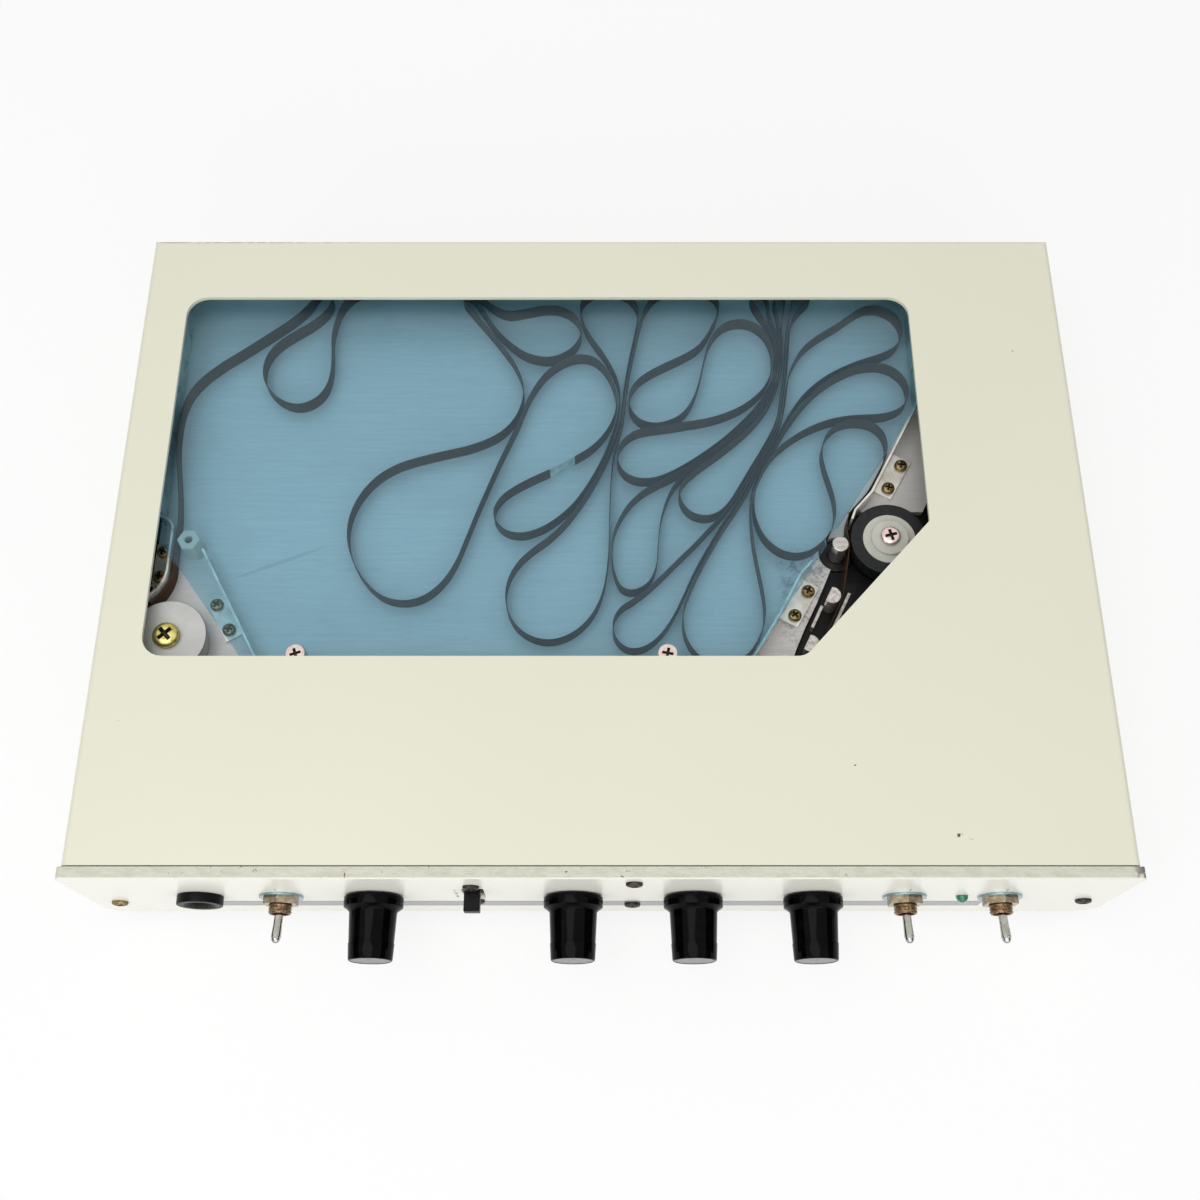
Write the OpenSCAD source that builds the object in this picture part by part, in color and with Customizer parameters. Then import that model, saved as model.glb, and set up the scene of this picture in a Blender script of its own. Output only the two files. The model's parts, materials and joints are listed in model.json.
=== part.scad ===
// Tape echo unit: an endless loop of quarter inch tape lies folded in a flat chamber under
// a blue lid. A capstan and a pinch roller pull it past an idler and a row of heads.
// All modules are drawn about the middle of the case and set back by case_y, so that the
// origin is under the middle of the whole unit, knobs and cord gland included.

/* [Case] */
// Width of the front panel
panel_w = 340; // [330:1:420]
// Depth of the case, from the panel's face to the back of the cover
case_d = 242; // [242:1:300]
// Height of the front panel
panel_h = 54; // [54:1:70]
// Height of a rubber foot
foot_h = 6; // [3:0.5:15]
// Thickness of the folded sheet steel
sheet_t = 1.5; // [1:0.1:2]
// Depth of the front panel's folded rim
rim_d = 4; // [3:0.5:8]
// How much narrower the cover is than the panel, at each end
cover_inset = 1.2; // [0.5:0.1:3]
// Gap between the panel's rim and the cover
cover_gap = 0.4; // [0.2:0.1:1]
// Outer radius of the cover's folds
fold_r = 2; // [1.6:0.1:4]
// Radius of the panel's lower corners
panel_corner_r = 8; // [2:0.5:12]

/* [Window] */
// Left edge of the window in the cover, from the middle
window_left = 153; // [140:1:156]
// Right edge of the window, from the middle
window_right = 113.5; // [108:0.5:118]
// Front edge of the window, from the middle
window_front = 47; // [40:0.5:52]
// Back edge of the window, from the middle
window_back = 95; // [80:0.5:105]
// Radius of the window's corners
window_r = 7.5; // [3:0.5:12]

/* [Tape deck] */
// Height of the tape floor above the ground
floor_z = 43; // [43:0.5:50]
// Thickness of the tape floor
floor_t = 2.5; // [2:0.1:4]
// Thickness of the mechanism deck
deck_t = 2; // [1.5:0.1:4]
// Width of the tape
tape_w = 6.35; // [5:0.05:6.35]
// Thickness of the tape as drawn
tape_t = 0.25; // [0.15:0.01:0.3]
// Space under and over the standing tape
tape_gap = 0.3; // [0.2:0.05:0.6]
// Thickness of the blue lid
lid_t = 2; // [1.5:0.1:3]
// Height of the lid's underside over the tape floor
lid_rise = 9.5; // [9:0.1:11]
// Thickness of the bent sheet walls
wall_t = 0.8; // [0.5:0.1:1]
// Height of the bent sheet walls
wall_h = 9; // [8:0.1:9.2]

/* [Rollers] */
// Radius of the capstan
capstan_r = 3; // [2:0.1:3]
// Radius of the pinch roller's tyre
pinch_r = 13.6; // [11:0.1:13.6]
// Radius of the pinch roller's hub
pinch_hub_r = 9.3; // [7:0.1:10]
// Radius of the idler's flanges
idler_r = 13.3; // [13:0.1:14]
// Radius of the flywheel
flywheel_r = 30; // [20:1:34]
// Radius of the motor pulley
pulley_r = 5; // [4:0.5:8]
// Radial clearance of a running shaft
run_fit = 0.05; // [0.02:0.01:0.1]

/* [Controls] */
// Height of the row of controls above the ground
control_z = 33; // [28:0.5:36]
// Height of the row of sockets on the back
rear_z = 26; // [20:0.5:29]
// How far a knob stands out from the panel
knob_out = 21; // [15:0.5:26]
// Radius of a knob's skirt
knob_skirt_r = 9.75; // [8:0.25:12]
// Radius of a knob's cap
knob_cap_r = 7.2; // [6:0.1:9]
// Length of a toggle's lever outside its bushing
lever_len = 10; // [6:0.5:14]
// Swing of a toggle's lever to each side of straight
lever_tilt = 12; // [6:1:14]
// Travel of the slide switch
slide_travel = 9.6; // [6:0.2:9.6]

/* [Hidden] */
$fn = 48;

// Case planes
face_y = -case_d / 2;
rear_y = case_d / 2;
top_z = foot_h + panel_h;
cover_w = panel_w - 2 * cover_inset;
cover_front_y = face_y + rim_d + cover_gap;
gland_out = 9;
case_y = (knob_out - gland_out) / 2;
base_top = foot_h + sheet_t;
base_w = cover_w - 2 * sheet_t - 0.6;
wall_back_y = face_y + sheet_t;
sub_panel_y = wall_back_y + sheet_t;
rear_panel_y = rear_y - sheet_t;

// Deck levels
floor_bottom = floor_z - floor_t;
deck_bottom = floor_bottom - deck_t;
tape_z = floor_z + tape_gap;
tape_top = tape_z + tape_w;
lid_z = floor_z + lid_rise;
foot_tab_t = 1;
deck_front_y = -82;
deck_back_y = rear_panel_y - sheet_t - 1;
deck_side_x = base_w / 2 - sheet_t - 2;
chamber_left = -156;
chamber_right = 116;
chamber_back = 109;
chamber_front = -48.3;

// Places on the deck
capstan = [83.7, -2.1];
pinch = [101.3, 0.6];
pinch_pivot = [112, -30];
pinch_tail = [124, -52];
idler = [-147.3, -37];
motor = [30, 26];
guide_post_r = 3;
guide_posts = [[79.7, -21.2], [71.2, -39]];
corner_post = [62, -46.4];

// Places along the front panel
jack_x = -131.4;
toggle_x = [-104.9, 99.7, 131];
knob_x = [-74.4, -9, 30.3, 69.6];
mode_x = -41.3;
led_x = 118.6;

// The tape's top view, as points along the middle of its thickness. It starts and ends at
// the two sides of the splice and runs once round the whole loop.
tape_route = [
    // up from the splice, round the middle fold and down into the big left fold
    [-9.6, 33.6], [-4.8, 36.8], [-0.5, 41], [2.8, 46], [5, 51.5], [5.7, 57], [5, 62.5], [3.2, 68],
    [0.5, 72.6], [-3, 75.8], [-7.5, 76.8], [-12, 75.8], [-16.5, 73], [-20.3, 69.4], [-23.5, 64.8],
    [-26.2, 59.5], [-28.2, 54], [-30, 48.5], [-32.6, 42], [-36.3, 33], [-40.2, 22.5],
    [-43.8, 12.5], [-47.3, 2], [-50.6, -7.5], [-54.8, -15], [-60.8, -20.6], [-68, -22.7],
    [-75.5, -21], [-82, -15.3], [-86.7, -7.5], [-89.2, 1], [-89, 9.5], [-86, 18], [-80.5, 25.4],
    [-73, 30.6], [-64, 33.8], [-55, 36.2], [-47, 38.4], [-40, 41.5], [-35, 45.2], [-31.4, 50],
    [-29.3, 55.5], [-28.6, 61], [-29.6, 67], [-32.3, 73.5], [-36.4, 80], [-41, 86.5], [-46, 93],
    [-49.8, 98], [-52.4, 102], [-51.6, 104.6], [-48.6, 103], [-46, 99], [-43, 94], [-39.2, 88],
    [-33.5, 81.8],
    // the round fold at the back, then along the back fence
    [-27.5, 77.4], [-20.5, 75.7], [-15, 77.1], [-10.6, 80.3], [-7.9, 85], [-7.9, 90.5],
    [-10.8, 95.3], [-16, 98.2], [-22, 98.4], [-28.5, 97], [-35, 96], [-40.5, 98.4], [-45, 102.5],
    [-50.5, 106], [-58, 107.4], [-70, 107.6], [-82, 107.4], [-90.5, 106.2], [-95.6, 103],
    [-98.6, 98],
    // the small left fold and the run down to the exit
    [-100.3, 91.5], [-101, 84.5], [-100.4, 77], [-100.3, 69.5], [-101.6, 63], [-105.2, 58],
    [-110.5, 55.6], [-116, 56.6], [-121.3, 60.5], [-124.6, 66], [-125.4, 71.8], [-124, 77.5],
    [-120.4, 82.6], [-115, 87], [-109.5, 91], [-104.8, 95.6], [-102.4, 100.5], [-103, 105],
    [-106, 106.6], [-108.6, 103.8], [-111, 99], [-116.4, 93], [-124, 86.6], [-133, 79.4],
    [-141, 73.2], [-147.6, 66.8], [-151.6, 60.5], [-153.6, 53], [-154, 45], [-153.4, 36],
    [-151.8, 26], [-150.2, 15.5], [-149.4, 6], [-149.4, -4], [-149.3, -12.4], [-151.3, -18.6],
    [-155, -24.4],
    // round the idler, past the heads and up between the guide posts to the nip
    [-158.4, -30.4], [-160, -37], [-158.4, -43.4], [-153.7, -48.2], [-147.3, -50], [-120, -50],
    [-90, -50], [-60, -50], [-30, -50], [0, -50], [30, -50], [50, -50], [58, -50], [62.4, -49.9],
    [65, -48.6], [69.6, -44.8], [72.9, -42.1], [74.6, -40], [78.6, -31.6], [82.7, -23],
    [83.5, -21], [85.5, -11.5], [87.2, -1.6],
    // along the right wall into the short inner fold
    [86.8, 3.5], [87, 7.6], [88.4, 11.4], [91.8, 15.4], [95, 19.2], [97.6, 23.6], [100.2, 28.4],
    [102.5, 33], [103.6, 38], [103, 43], [100.2, 46.9], [96.4, 48.7], [92, 49], [87.5, 47.9],
    [83.9, 45.3], [81.4, 41.7], [80.1, 37.7], [79.9, 33.3], [80.8, 27.8], [82.2, 22], [83.2, 16.5],
    [83.3, 11.5], [82.1, 6.6], [79.9, 2.2],
    // the big right fold
    [76.8, -1.1], [73, -3.7], [68.5, -4.7], [64, -3.8], [60, -1], [57, 3], [55, 8.5], [54.4, 14.5],
    [55.4, 21.5], [58.2, 28.5], [62.2, 35], [66.6, 39.5], [71.5, 43.2], [77, 46.4], [83, 48.9],
    [89, 50.3], [95, 50.9], [101, 51.2], [106.5, 52.4], [110.6, 54.9], [112.8, 58.5], [113.2, 63],
    [111.8, 67.5], [108.6, 71],
    // down to the front right fold and back up to the right wall
    [104.5, 72.8], [99.5, 73], [94.5, 71.8], [89.5, 69.4], [84.5, 66.2], [79.5, 62], [75, 57],
    [71, 51.6], [67.4, 46], [64.4, 40.8], [61, 35], [57.2, 28.5], [54.4, 21.5], [53.4, 15],
    [53.2, 8], [53.6, 0], [54.6, -8], [55.8, -16], [56.6, -24], [56, -31], [53.2, -38],
    [48.8, -43.4], [43, -46.2], [37, -45.4], [32.3, -41.8], [29.2, -36.5], [28.2, -30.5],
    [28.9, -24.5], [31, -18.5], [33.6, -12.5], [36.7, -6.3], [40.2, 0.2], [44, 6.8], [48, 13],
    [52.4, 20.5], [56.2, 28.5], [60, 35], [63.4, 41], [66.2, 46.5], [69.6, 52.6], [74, 59],
    [79.2, 64.3], [84.3, 68.2],
    // round the upper right fold and down to the front middle fold
    [89.5, 71.2], [95, 73.8], [100.5, 75.8], [106, 78], [110.4, 81], [112.8, 85.5], [112.8, 91],
    [110, 95.8], [105, 98.4], [99.5, 98], [94.5, 94.8], [89.5, 90.9], [84, 87.2], [78.8, 83.3],
    [74.7, 79], [71.8, 73.8], [69.6, 68], [68.2, 60], [66.9, 52.5], [65, 46.5], [62.3, 41],
    [59, 35], [55.2, 28.5], [51.3, 20.5], [46.9, 13], [42.9, 6.8], [39.1, 0.4], [35.5, -6],
    [32.4, -12], [29.8, -17.8], [27.3, -23.5], [24.8, -28.6], [21.8, -33.4], [18.4, -37.2],
    [14.4, -39.8], [10, -40.3], [6.4, -38.2], [4.4, -34.4], [4.4, -29.6], [6.8, -25.2],
    [10.8, -22.4], [15.6, -18.6], [20.8, -13.6], [26.4, -7.6], [31.8, -2], [37, 3.8],
    [41.6, 9],
    // up to the back, the drop shaped fold, up to the back and down again
    [46, 14.6], [50.2, 21], [54.2, 28.5], [58, 35], [61.3, 41], [64, 46.5], [65.9, 52.5],
    [67.2, 60], [68.6, 68], [69.7, 76], [70.5, 84], [72, 92], [75.5, 98], [79.2, 102.2],
    [79.8, 106], [76.6, 107.4], [73.6, 104.4], [71.9, 98.5], [70.6, 92], [69.5, 84], [68.7, 76],
    [67.7, 68], [66.3, 60], [64.9, 52.5], [63, 46.5], [60.3, 41], [57, 35], [53.2, 28.5],
    [49.2, 21.4], [45.4, 15.2], [41.4, 11.3], [36.8, 10], [32.2, 11.4], [29, 15], [28, 20],
    [29.8, 24.4], [35, 29.6], [43, 36], [51.8, 43.8], [57.9, 50.7], [62.5, 57.8], [66.5, 68],
    [67.7, 76], [67.9, 84], [68, 91], [69.3, 97], [70, 102.4], [69, 105.8], [66.6, 105.4],
    [65.8, 101], [66.4, 96],
    [66.9, 91], [67, 84], [66.8, 76], [65.7, 68], [61.6, 58.2], [57.1, 51.4], [51, 44.6],
    [42.9, 37.4],
    // the narrow middle fold, up to the back and down to the pair of folds at the middle
    [34.8, 30.9], [29, 26], [25.4, 21], [22.9, 15], [21.1, 8], [20.2, 0], [19.6, -8],
    [17.6, -14], [14.6, -17.3], [10.6, -18.7], [6.8, -17], [4.6, -11.5], [3.9, -4.5], [4.5, 3],
    [6.9, 9.7], [10.3, 15.2], [14.8, 19.8], [20.5, 23.5], [27, 27.1], [34.8, 32.3], [42.9, 38.7],
    [50.3, 45.6], [56.3, 52.2], [60.7, 58.8], [64.8, 68], [65.9, 76], [66.1, 84], [64.8, 91],
    [63.4, 96], [63.4, 101], [62, 105.4], [59, 106.6], [57, 103.6], [58.4, 98.6], [62, 92],
    [65, 84], [65, 76], [63.9, 68], [59.8, 59.3], [55.5, 53], [49.6, 46.5], [42.8, 40],
    [35, 33.9], [27.5, 28.9],
    [21, 25.7], [16, 24.8], [11.3, 25.6], [7.7, 28.3], [6, 32.5], [6.2, 37], [8.5, 41.2],
    [12.5, 44.3], [18, 45.8], [24.5, 46.8], [31, 48], [38, 49.3], [45, 51.5], [51.5, 54.8],
    [57, 59.2], [60.6, 63.6], [62.9, 69], [63.9, 75], [63.6, 81], [61.4, 87], [57.4, 91],
    [52.5, 92.4], [47, 91], [43, 87.2], [40.5, 82.5],
    // the upper middle fold and along the back
    [38.8, 77], [37.5, 71], [36, 64.5], [33.8, 58], [30.5, 52.6], [26, 49.2], [20, 47.6],
    [14.8, 48.9], [11.6, 52.2], [10.3, 56.5], [10.9, 61.5], [13.8, 66.3], [19, 70.3], [25, 73.7],
    [31, 77], [36, 80.6], [39.3, 85], [41.8, 90], [43.8, 95], [44.6, 100], [42.4, 104.6],
    [36.5, 107], [28, 107], [21, 104.4], [17, 98.5], [14.9, 92], [13.3, 84.5], [11.8, 77],
    [10.4, 69], [9.4, 62], [8.9, 57],
    // the front middle fold and up to the back again
    [8.2, 50.5], [6.6, 43], [4.8, 36], [3.8, 28], [3.3, 18], [3, 8], [2.8, -2], [2, -12],
    [0.4, -20], [-2.3, -26.5], [-6.5, -32], [-12, -35.8], [-18, -37.2], [-24, -35.8],
    [-29, -32], [-32, -26.5], [-33, -20], [-31.8, -13.5], [-28.5, -7.5], [-23.5, -2.5], [-18, 2],
    [-12.8, 7.6], [-8, 14.3], [-3.6, 21.8], [0, 29], [3, 36], [5.4, 43], [7.1, 50], [7.9, 57],
    [8.4, 62], [9.4, 69], [10.8, 77], [12.3, 84.5], [13.6, 92], [13.6, 98.5], [10.4, 103.8],
    [4, 106.6], [-3, 105.4], [-7.4, 100.8], [-7.6, 95], [-5.9, 89], [-3, 83.5], [0.2, 78.6],
    [3.2, 73], [5.6, 67.4], [6.8, 62], [6.8, 57], [5.9, 50], [4, 43],
    // the left middle fold and back to the splice
    [1.6, 36], [-1.4, 29], [-5.2, 21.8], [-9.8, 14.9], [-15, 9.6], [-21, 5.4], [-27.6, 3.2],
    [-33.4, 4.2], [-37.2, 8], [-38, 12.6], [-35.6, 17.4], [-31, 21.4], [-25, 25], [-18.4, 28.4]];
tape_steps = 3;
tape_line = smooth(tape_route, tape_steps);
// Ends of the spliced stretch, which carries on from the tape's two ends
splice_line = [[-18.4, 28.4], [-15.4, 30], [-12.4, 31.8], [-9.6, 33.6]];

// Helpers ---------------------------------------------------------------------------------

// The unit direction of a vector
function unit(v) = v / norm(v);

// A vector turned a quarter turn to the left
function left_of(v) = [-v[1], v[0]];

// A curve through all points, with n steps from each point to the next
function smooth(p, n) = let (last = len(p) - 1) [
    for (i = [0 : last - 1])
        let (a = p[max(i - 1, 0)], b = p[i], c = p[i + 1], d = p[min(i + 2, last)])
            for (k = [0 : n - 1])
                let (t = k / n)
                    b + t * ((c - a) / 2 + t * ((2 * a - 5 * b + 4 * c - d) / 2
                        + t * (3 * b - a - 3 * c + d) / 2)),
    p[last]];

// Direction of a line of points at point i
function heading(p, i) = unit(p[min(i + 1, len(p) - 1)] - p[max(i - 1, 0)]);

// Outline of a strip of thickness t along an open line of points
function strip_outline(p, t) = [
    for (i = [0 : len(p) - 1]) p[i] + left_of(heading(p, i)) * t / 2,
    for (i = [len(p) - 1 : -1 : 0]) p[i] - left_of(heading(p, i)) * t / 2];

// A standing strip of thickness t and height h along a line of points
module strip(p, t, z, h) {
    translate([0, 0, z])
        linear_extrude(h)
            polygon(strip_outline(p, t));
}

// Points of an arc of radius r in the corner p between points a and b
function corner_arc(a, p, b, r, n = 6) = let (
    u = unit(a - p),
    v = unit(b - p),
    bend = acos(u * v),
    c = p + unit(u + v) * r / sin(bend / 2),
    s = p + u * r / tan(bend / 2) - c,
    e = p + v * r / tan(bend / 2) - c,
    from = atan2(s[1], s[0]),
    turn = (atan2(e[1], e[0]) - from + 540) % 360 - 180)
    [for (i = [0 : n]) c + r * [cos(from + turn * i / n), sin(from + turn * i / n)]];

// An outline with all its corners rounded, each by its own radius
function rounded(p, radii) = let (n = len(p)) [
    for (i = [0 : n - 1])
        each corner_arc(p[(i + n - 1) % n], p[i], p[(i + 1) % n], radii[i])];

// A flat plate with its lower face at height z
module plate(outline, z, t) {
    translate([0, 0, z])
        linear_extrude(t)
            polygon(outline);
}

// The whole unit is set back so that its origin is under its middle
module placed() {
    translate([0, case_y, 0]) children();
}

// Copies at a list of places on the deck
module at_each(places, z = 0) {
    for (p = places)
        translate([p[0], p[1], z]) children();
}

// A round boss or hole along Y, from front_y backwards
module along_y(x, front_y, z, r, len) {
    translate([x, front_y, z])
        rotate([-90, 0, 0])
            cylinder(r = r, h = len);
}

// A Phillips recess to cut from a head whose top is at z = 0
module cross_recess(w, depth) {
    arm = w / 4;
    translate([0, 0, -depth])
        linear_extrude(depth + 1) {
            square([w, arm], center = true);
            square([arm, w], center = true);
        }
}

// A pan head screw, its shank down from z = 0 and its head up
module pan_screw(head_r, head_h, shank_r, shank_len) {
    difference() {
        union() {
            cylinder(r = head_r, h = head_h * 0.6);
            translate([0, 0, head_h * 0.6])
                cylinder(r1 = head_r, r2 = head_r * 0.62, h = head_h * 0.4);
            translate([0, 0, -shank_len])
                cylinder(r = shank_r, h = shank_len);
        }
        translate([0, 0, head_h]) cross_recess(head_r * 1.2, head_h * 0.6);
    }
}

// A countersunk screw, its flat top at z = 0
module flat_screw(head_r, head_h, shank_r, shank_len) {
    difference() {
        union() {
            translate([0, 0, -head_h])
                cylinder(r1 = shank_r, r2 = head_r, h = head_h);
            translate([0, 0, -shank_len])
                cylinder(r = shank_r, h = shank_len - head_h);
        }
        cross_recess(head_r * 1.15, head_h * 0.6);
    }
}

// A tube with n sides along a line of points in space
module tube(p, r, n) {
    points = [for (i = [0 : len(p) - 1])
        let (
            t = unit(p[min(i + 1, len(p) - 1)] - p[max(i - 1, 0)]),
            side = unit(cross(t, abs(t[2]) > 0.9 ? [1, 0, 0] : [0, 0, 1])),
            up = cross(side, t))
            for (k = [0 : n - 1])
                p[i] + r * (cos(360 * k / n) * side + sin(360 * k / n) * up)];
    m = len(p);
    skin = [for (i = [0 : m - 2])
        for (k = [0 : n - 1])
            let (a = i * n + k, b = i * n + (k + 1) % n)
                each [[a, b, b + n], [a, b + n, a + n]]];
    caps = [for (k = [1 : n - 2])
        each [[0, k + 1, k], [(m - 1) * n, (m - 1) * n + k, (m - 1) * n + k + 1]]];
    polyhedron(points = points, faces = concat(skin, caps));
}

// Case ------------------------------------------------------------------------------------

foot_places = [for (x = [-150, 150]) for (y = [-100, 100]) [x, y]];
foot_r = 8;
side_screw_y = [-80, 0, 80];
side_screw_z = foot_h + 12;
rear_screw_x = [-120, 0, 145];
rear_screw_z = top_z - 7;
rear_screw_len = 4;
rear_flange = 14;
flange_h = 18;
screw_hole = 1.8;
slot_w = 7;
slot_top = control_z + 11.5;
slot_bottom = slot_top - slide_travel - 4.9;
slot_mid = (slot_top + slot_bottom) / 2;
jack_r = 5;
pot_bush_r = 3.5;
toggle_bush_r = 3.75;
led_r = 1.95;
bush_play = 0.15;
panel_screw_places = [[-161, control_z - 10], [160.4, control_z - 6.3], [10.6, control_z + 21],
    [10.6, control_z - 13], [mode_x, slot_mid + 11.6], [mode_x, slot_mid - 11.6]];

// Outline of the front panel seen from the front, drawn in by d
function panel_outline(d) = let (x = panel_w / 2 - d)
    rounded([[-x, foot_h + d], [x, foot_h + d], [x, top_z - d], [-x, top_z - d]],
        [panel_corner_r - d, panel_corner_r - d, 1.6 - d / 2, 1.6 - d / 2]);

// A panel seen from the front, from y backwards over the depth t
module upright(outline, y, t) {
    translate([0, y + t, 0])
        rotate([90, 0, 0])
            linear_extrude(t)
                polygon(outline);
}

// All holes through the front of the case
module front_holes(extra = 0) {
    y = face_y - 1;
    len = rim_d + 2;
    along_y(jack_x, y, control_z, jack_r + bush_play + extra, len);
    for (x = toggle_x)
        along_y(x, y, control_z, toggle_bush_r + bush_play + extra, len);
    for (x = knob_x)
        along_y(x, y, control_z, pot_bush_r + bush_play + extra, len);
    along_y(led_x, y, control_z, led_r + bush_play + extra, len);
    for (p = panel_screw_places)
        along_y(p[0], y, p[1], screw_hole, len);
    translate([mode_x - slot_w / 2 - extra, y, slot_bottom - extra])
        cube([slot_w + 2 * extra, len, slot_top - slot_bottom + 2 * extra]);
}

// A shallow steel tray whose rim is folded back along the top and both ends
module front_panel() {
    color("#f4f2e6") placed() difference() {
        upright(panel_outline(0), face_y, rim_d);
        upright(panel_outline(sheet_t), wall_back_y, rim_d);
        translate([-panel_w / 2 + sheet_t, wall_back_y, foot_h - 1])
            cube([panel_w - 2 * sheet_t, rim_d, panel_corner_r]);
        front_holes();
    }
}

// Floor of the case with its side flanges, and a wall behind the front panel
module chassis_base() {
    w = base_w / 2;
    front = wall_back_y;
    back = rear_panel_y - sheet_t;
    cut = panel_corner_r;
    color("#b4b6b2") placed() difference() {
        union() {
            plate([[-w + cut, front], [w - cut, front], [w, front + cut], [w, back],
                [-w, back], [-w, front + cut]], foot_h, sheet_t);
            translate([-w + cut, front, foot_h])
                cube([2 * (w - cut), sheet_t, panel_h - sheet_t - 2]);
            for (x = [-w, w - sheet_t])
                translate([x, front + cut, foot_h])
                    cube([sheet_t, back - front - cut, flange_h]);
        }
        front_holes(0.2);
        at_each(foot_places, foot_h - 1)
            cylinder(r = screw_hole, h = sheet_t + 2);
        for (y = side_screw_y)
            translate([-w - 1, y, side_screw_z])
                rotate([0, 90, 0])
                    cylinder(r = screw_hole, h = 2 * w + 2);
    }
}

// Section of the cover across the case, drawn in by d
function cover_section(d) = let (x = cover_w / 2 - d, low = foot_h + 1 - 2 * d)
    rounded([[-x, low], [x, low], [x, top_z - d], [-x, top_z - d]],
        [0.01, 0.01, fold_r - d, fold_r - d]);

// Section of the cover along the case, drawn in by d
function cover_side(d) = let (front = cover_front_y - 2 * d, back = rear_y - d)
    rounded([[front, foot_h + 1 - 2 * d], [back, foot_h + 1 - 2 * d], [back, top_z - d],
        [front, top_z - d]], [0.01, 0.01, fold_r - d, 0.01]);

// The cover's outside, drawn in by d
module cover_form(d) {
    intersection() {
        upright(cover_section(d), cover_front_y - 2 * d, rear_y - cover_front_y + d);
        translate([-cover_w / 2, 0, 0])
            rotate([90, 0, 90])
                linear_extrude(cover_w)
                    polygon(cover_side(d));
    }
}

// The opening over the tape, its front right corner cut off along the pinch roller
window_outline = rounded([[-window_left, -window_front], [68, -window_front],
    [window_right, 2.9], [window_right, window_back], [-window_left, window_back]],
    [window_r, 6, 1.5, window_r, window_r]);

// Folded steel lid: top, two sides and a short flange down the back
module top_cover() {
    color("#e3e2d0") placed() difference() {
        cover_form(0);
        cover_form(sheet_t);
        translate([-base_w / 2, rear_panel_y - 1, foot_h])
            cube([base_w, sheet_t + 2, panel_h - rear_flange]);
        plate(window_outline, top_z - sheet_t - 1, sheet_t + 2);
        for (y = side_screw_y)
            translate([-panel_w / 2, y, side_screw_z])
                rotate([0, 90, 0])
                    cylinder(r = screw_hole, h = panel_w);
        for (x = rear_screw_x)
            along_y(x, rear_panel_y - 1, rear_screw_z, screw_hole, sheet_t + 2);
    }
}

output_jack_x = [-70, -40];
cord_x = 118;
fuse_x = 84;
cord_hole_r = 7;
fuse_hole_r = 6;
rear_play = 0.2;

// Back wall, inside the cover's rear flange
module rear_panel() {
    y = rear_panel_y - sheet_t;
    color("#d9d8c8") placed() difference() {
        translate([-base_w / 2 + rear_play, y, foot_h])
            cube([base_w - 2 * rear_play, sheet_t, panel_h - sheet_t - 3 * rear_play]);
        for (x = output_jack_x)
            along_y(x, y - 1, rear_z, jack_r + bush_play, sheet_t + 2);
        along_y(cord_x, y - 1, rear_z, cord_hole_r + bush_play, sheet_t + 2);
        along_y(fuse_x, y - 1, rear_z, fuse_hole_r + bush_play, sheet_t + 2);
        for (x = rear_screw_x)
            along_y(x, y - 1, rear_screw_z, screw_hole, sheet_t + 2);
    }
}

// Four turned rubber feet, each with a sunk hole for its screw
module rubber_feet() {
    color("#232323") placed() at_each(foot_places)
        difference() {
            union() {
                cylinder(r1 = foot_r - 1, r2 = foot_r, h = foot_h * 0.5);
                translate([0, 0, foot_h * 0.5])
                    cylinder(r = foot_r, h = foot_h * 0.5);
            }
            translate([0, 0, -1]) cylinder(r = screw_hole, h = foot_h + 2);
            translate([0, 0, -1]) cylinder(r = 3.6, h = foot_h * 0.5 + 1);
        }
}

// Screws of the feet, of the cover's sides and of its rear flange
module case_screws() {
    color("#3a3a3c") placed() {
        at_each(foot_places, foot_h * 0.5)
            rotate([180, 0, 0])
                pan_screw(3, 1.6, 1.5, foot_h * 0.5 + sheet_t + 2);
        for (side = [-1, 1])
            for (y = side_screw_y)
                translate([side * cover_w / 2, y, side_screw_z])
                    rotate([0, side * 90, 0])
                        pan_screw(2.8, 1.1, 1.5, 5);
        for (x = rear_screw_x)
            translate([x, rear_y, rear_screw_z])
                rotate([-90, 0, 0])
                    pan_screw(2.8, 1.3, 1.5, rear_screw_len);
    }
}

// Two panel screws at the ends, two by the middle knob and two of the slide switch
module panel_screws() {
    color("#2e2b26") placed()
        for (p = panel_screw_places)
            translate([p[0], face_y, p[1]])
                rotate([90, 0, 0])
                    pan_screw(2.7, 1.3, 1.5, 6);
}

// Mechanism deck ----------------------------------------------------------------------------

pillar_places = [[-160, -74], [-160, 40], [-160, 112], [159, -74], [159, 20], [159, 112],
    [62, -74]];
board_places = [[-145, -104], [-145, -36], [-30, -104], [-30, -36]];
board_z = base_top + 6.5;
board_t = 1.6;
pillar_r = 3;
post_r = 2.5;
bearing_r = 6;
post_top = floor_z + 8.7;
spring_anchor = [148, -40];
motor_r = 17;
motor_shaft_r = 1.5;
small_hole = 1.3;
small_shank = 1.2;
right_upper_feet = [[103.7, 23.4], [109, 32.6]];
right_lower_feet = [[67.4, -26.2], [72.5, -17.1]];
left_feet = [[-133.8, -22.3], [-128.6, -31.6]];
exit_feet = [[-154.9, -2], [-155.1, -11.6]];
wall_screw_places = concat(right_upper_feet, right_lower_feet, left_feet, exit_feet);
head_plate_box = [-126, -80, 42, -53.2];
head_screw_places = [for (x = [head_plate_box[0] + 4, head_plate_box[2] - 4])
    for (y = [head_plate_box[1] + 4, head_plate_box[3] - 4]) [x, y]];

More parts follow.
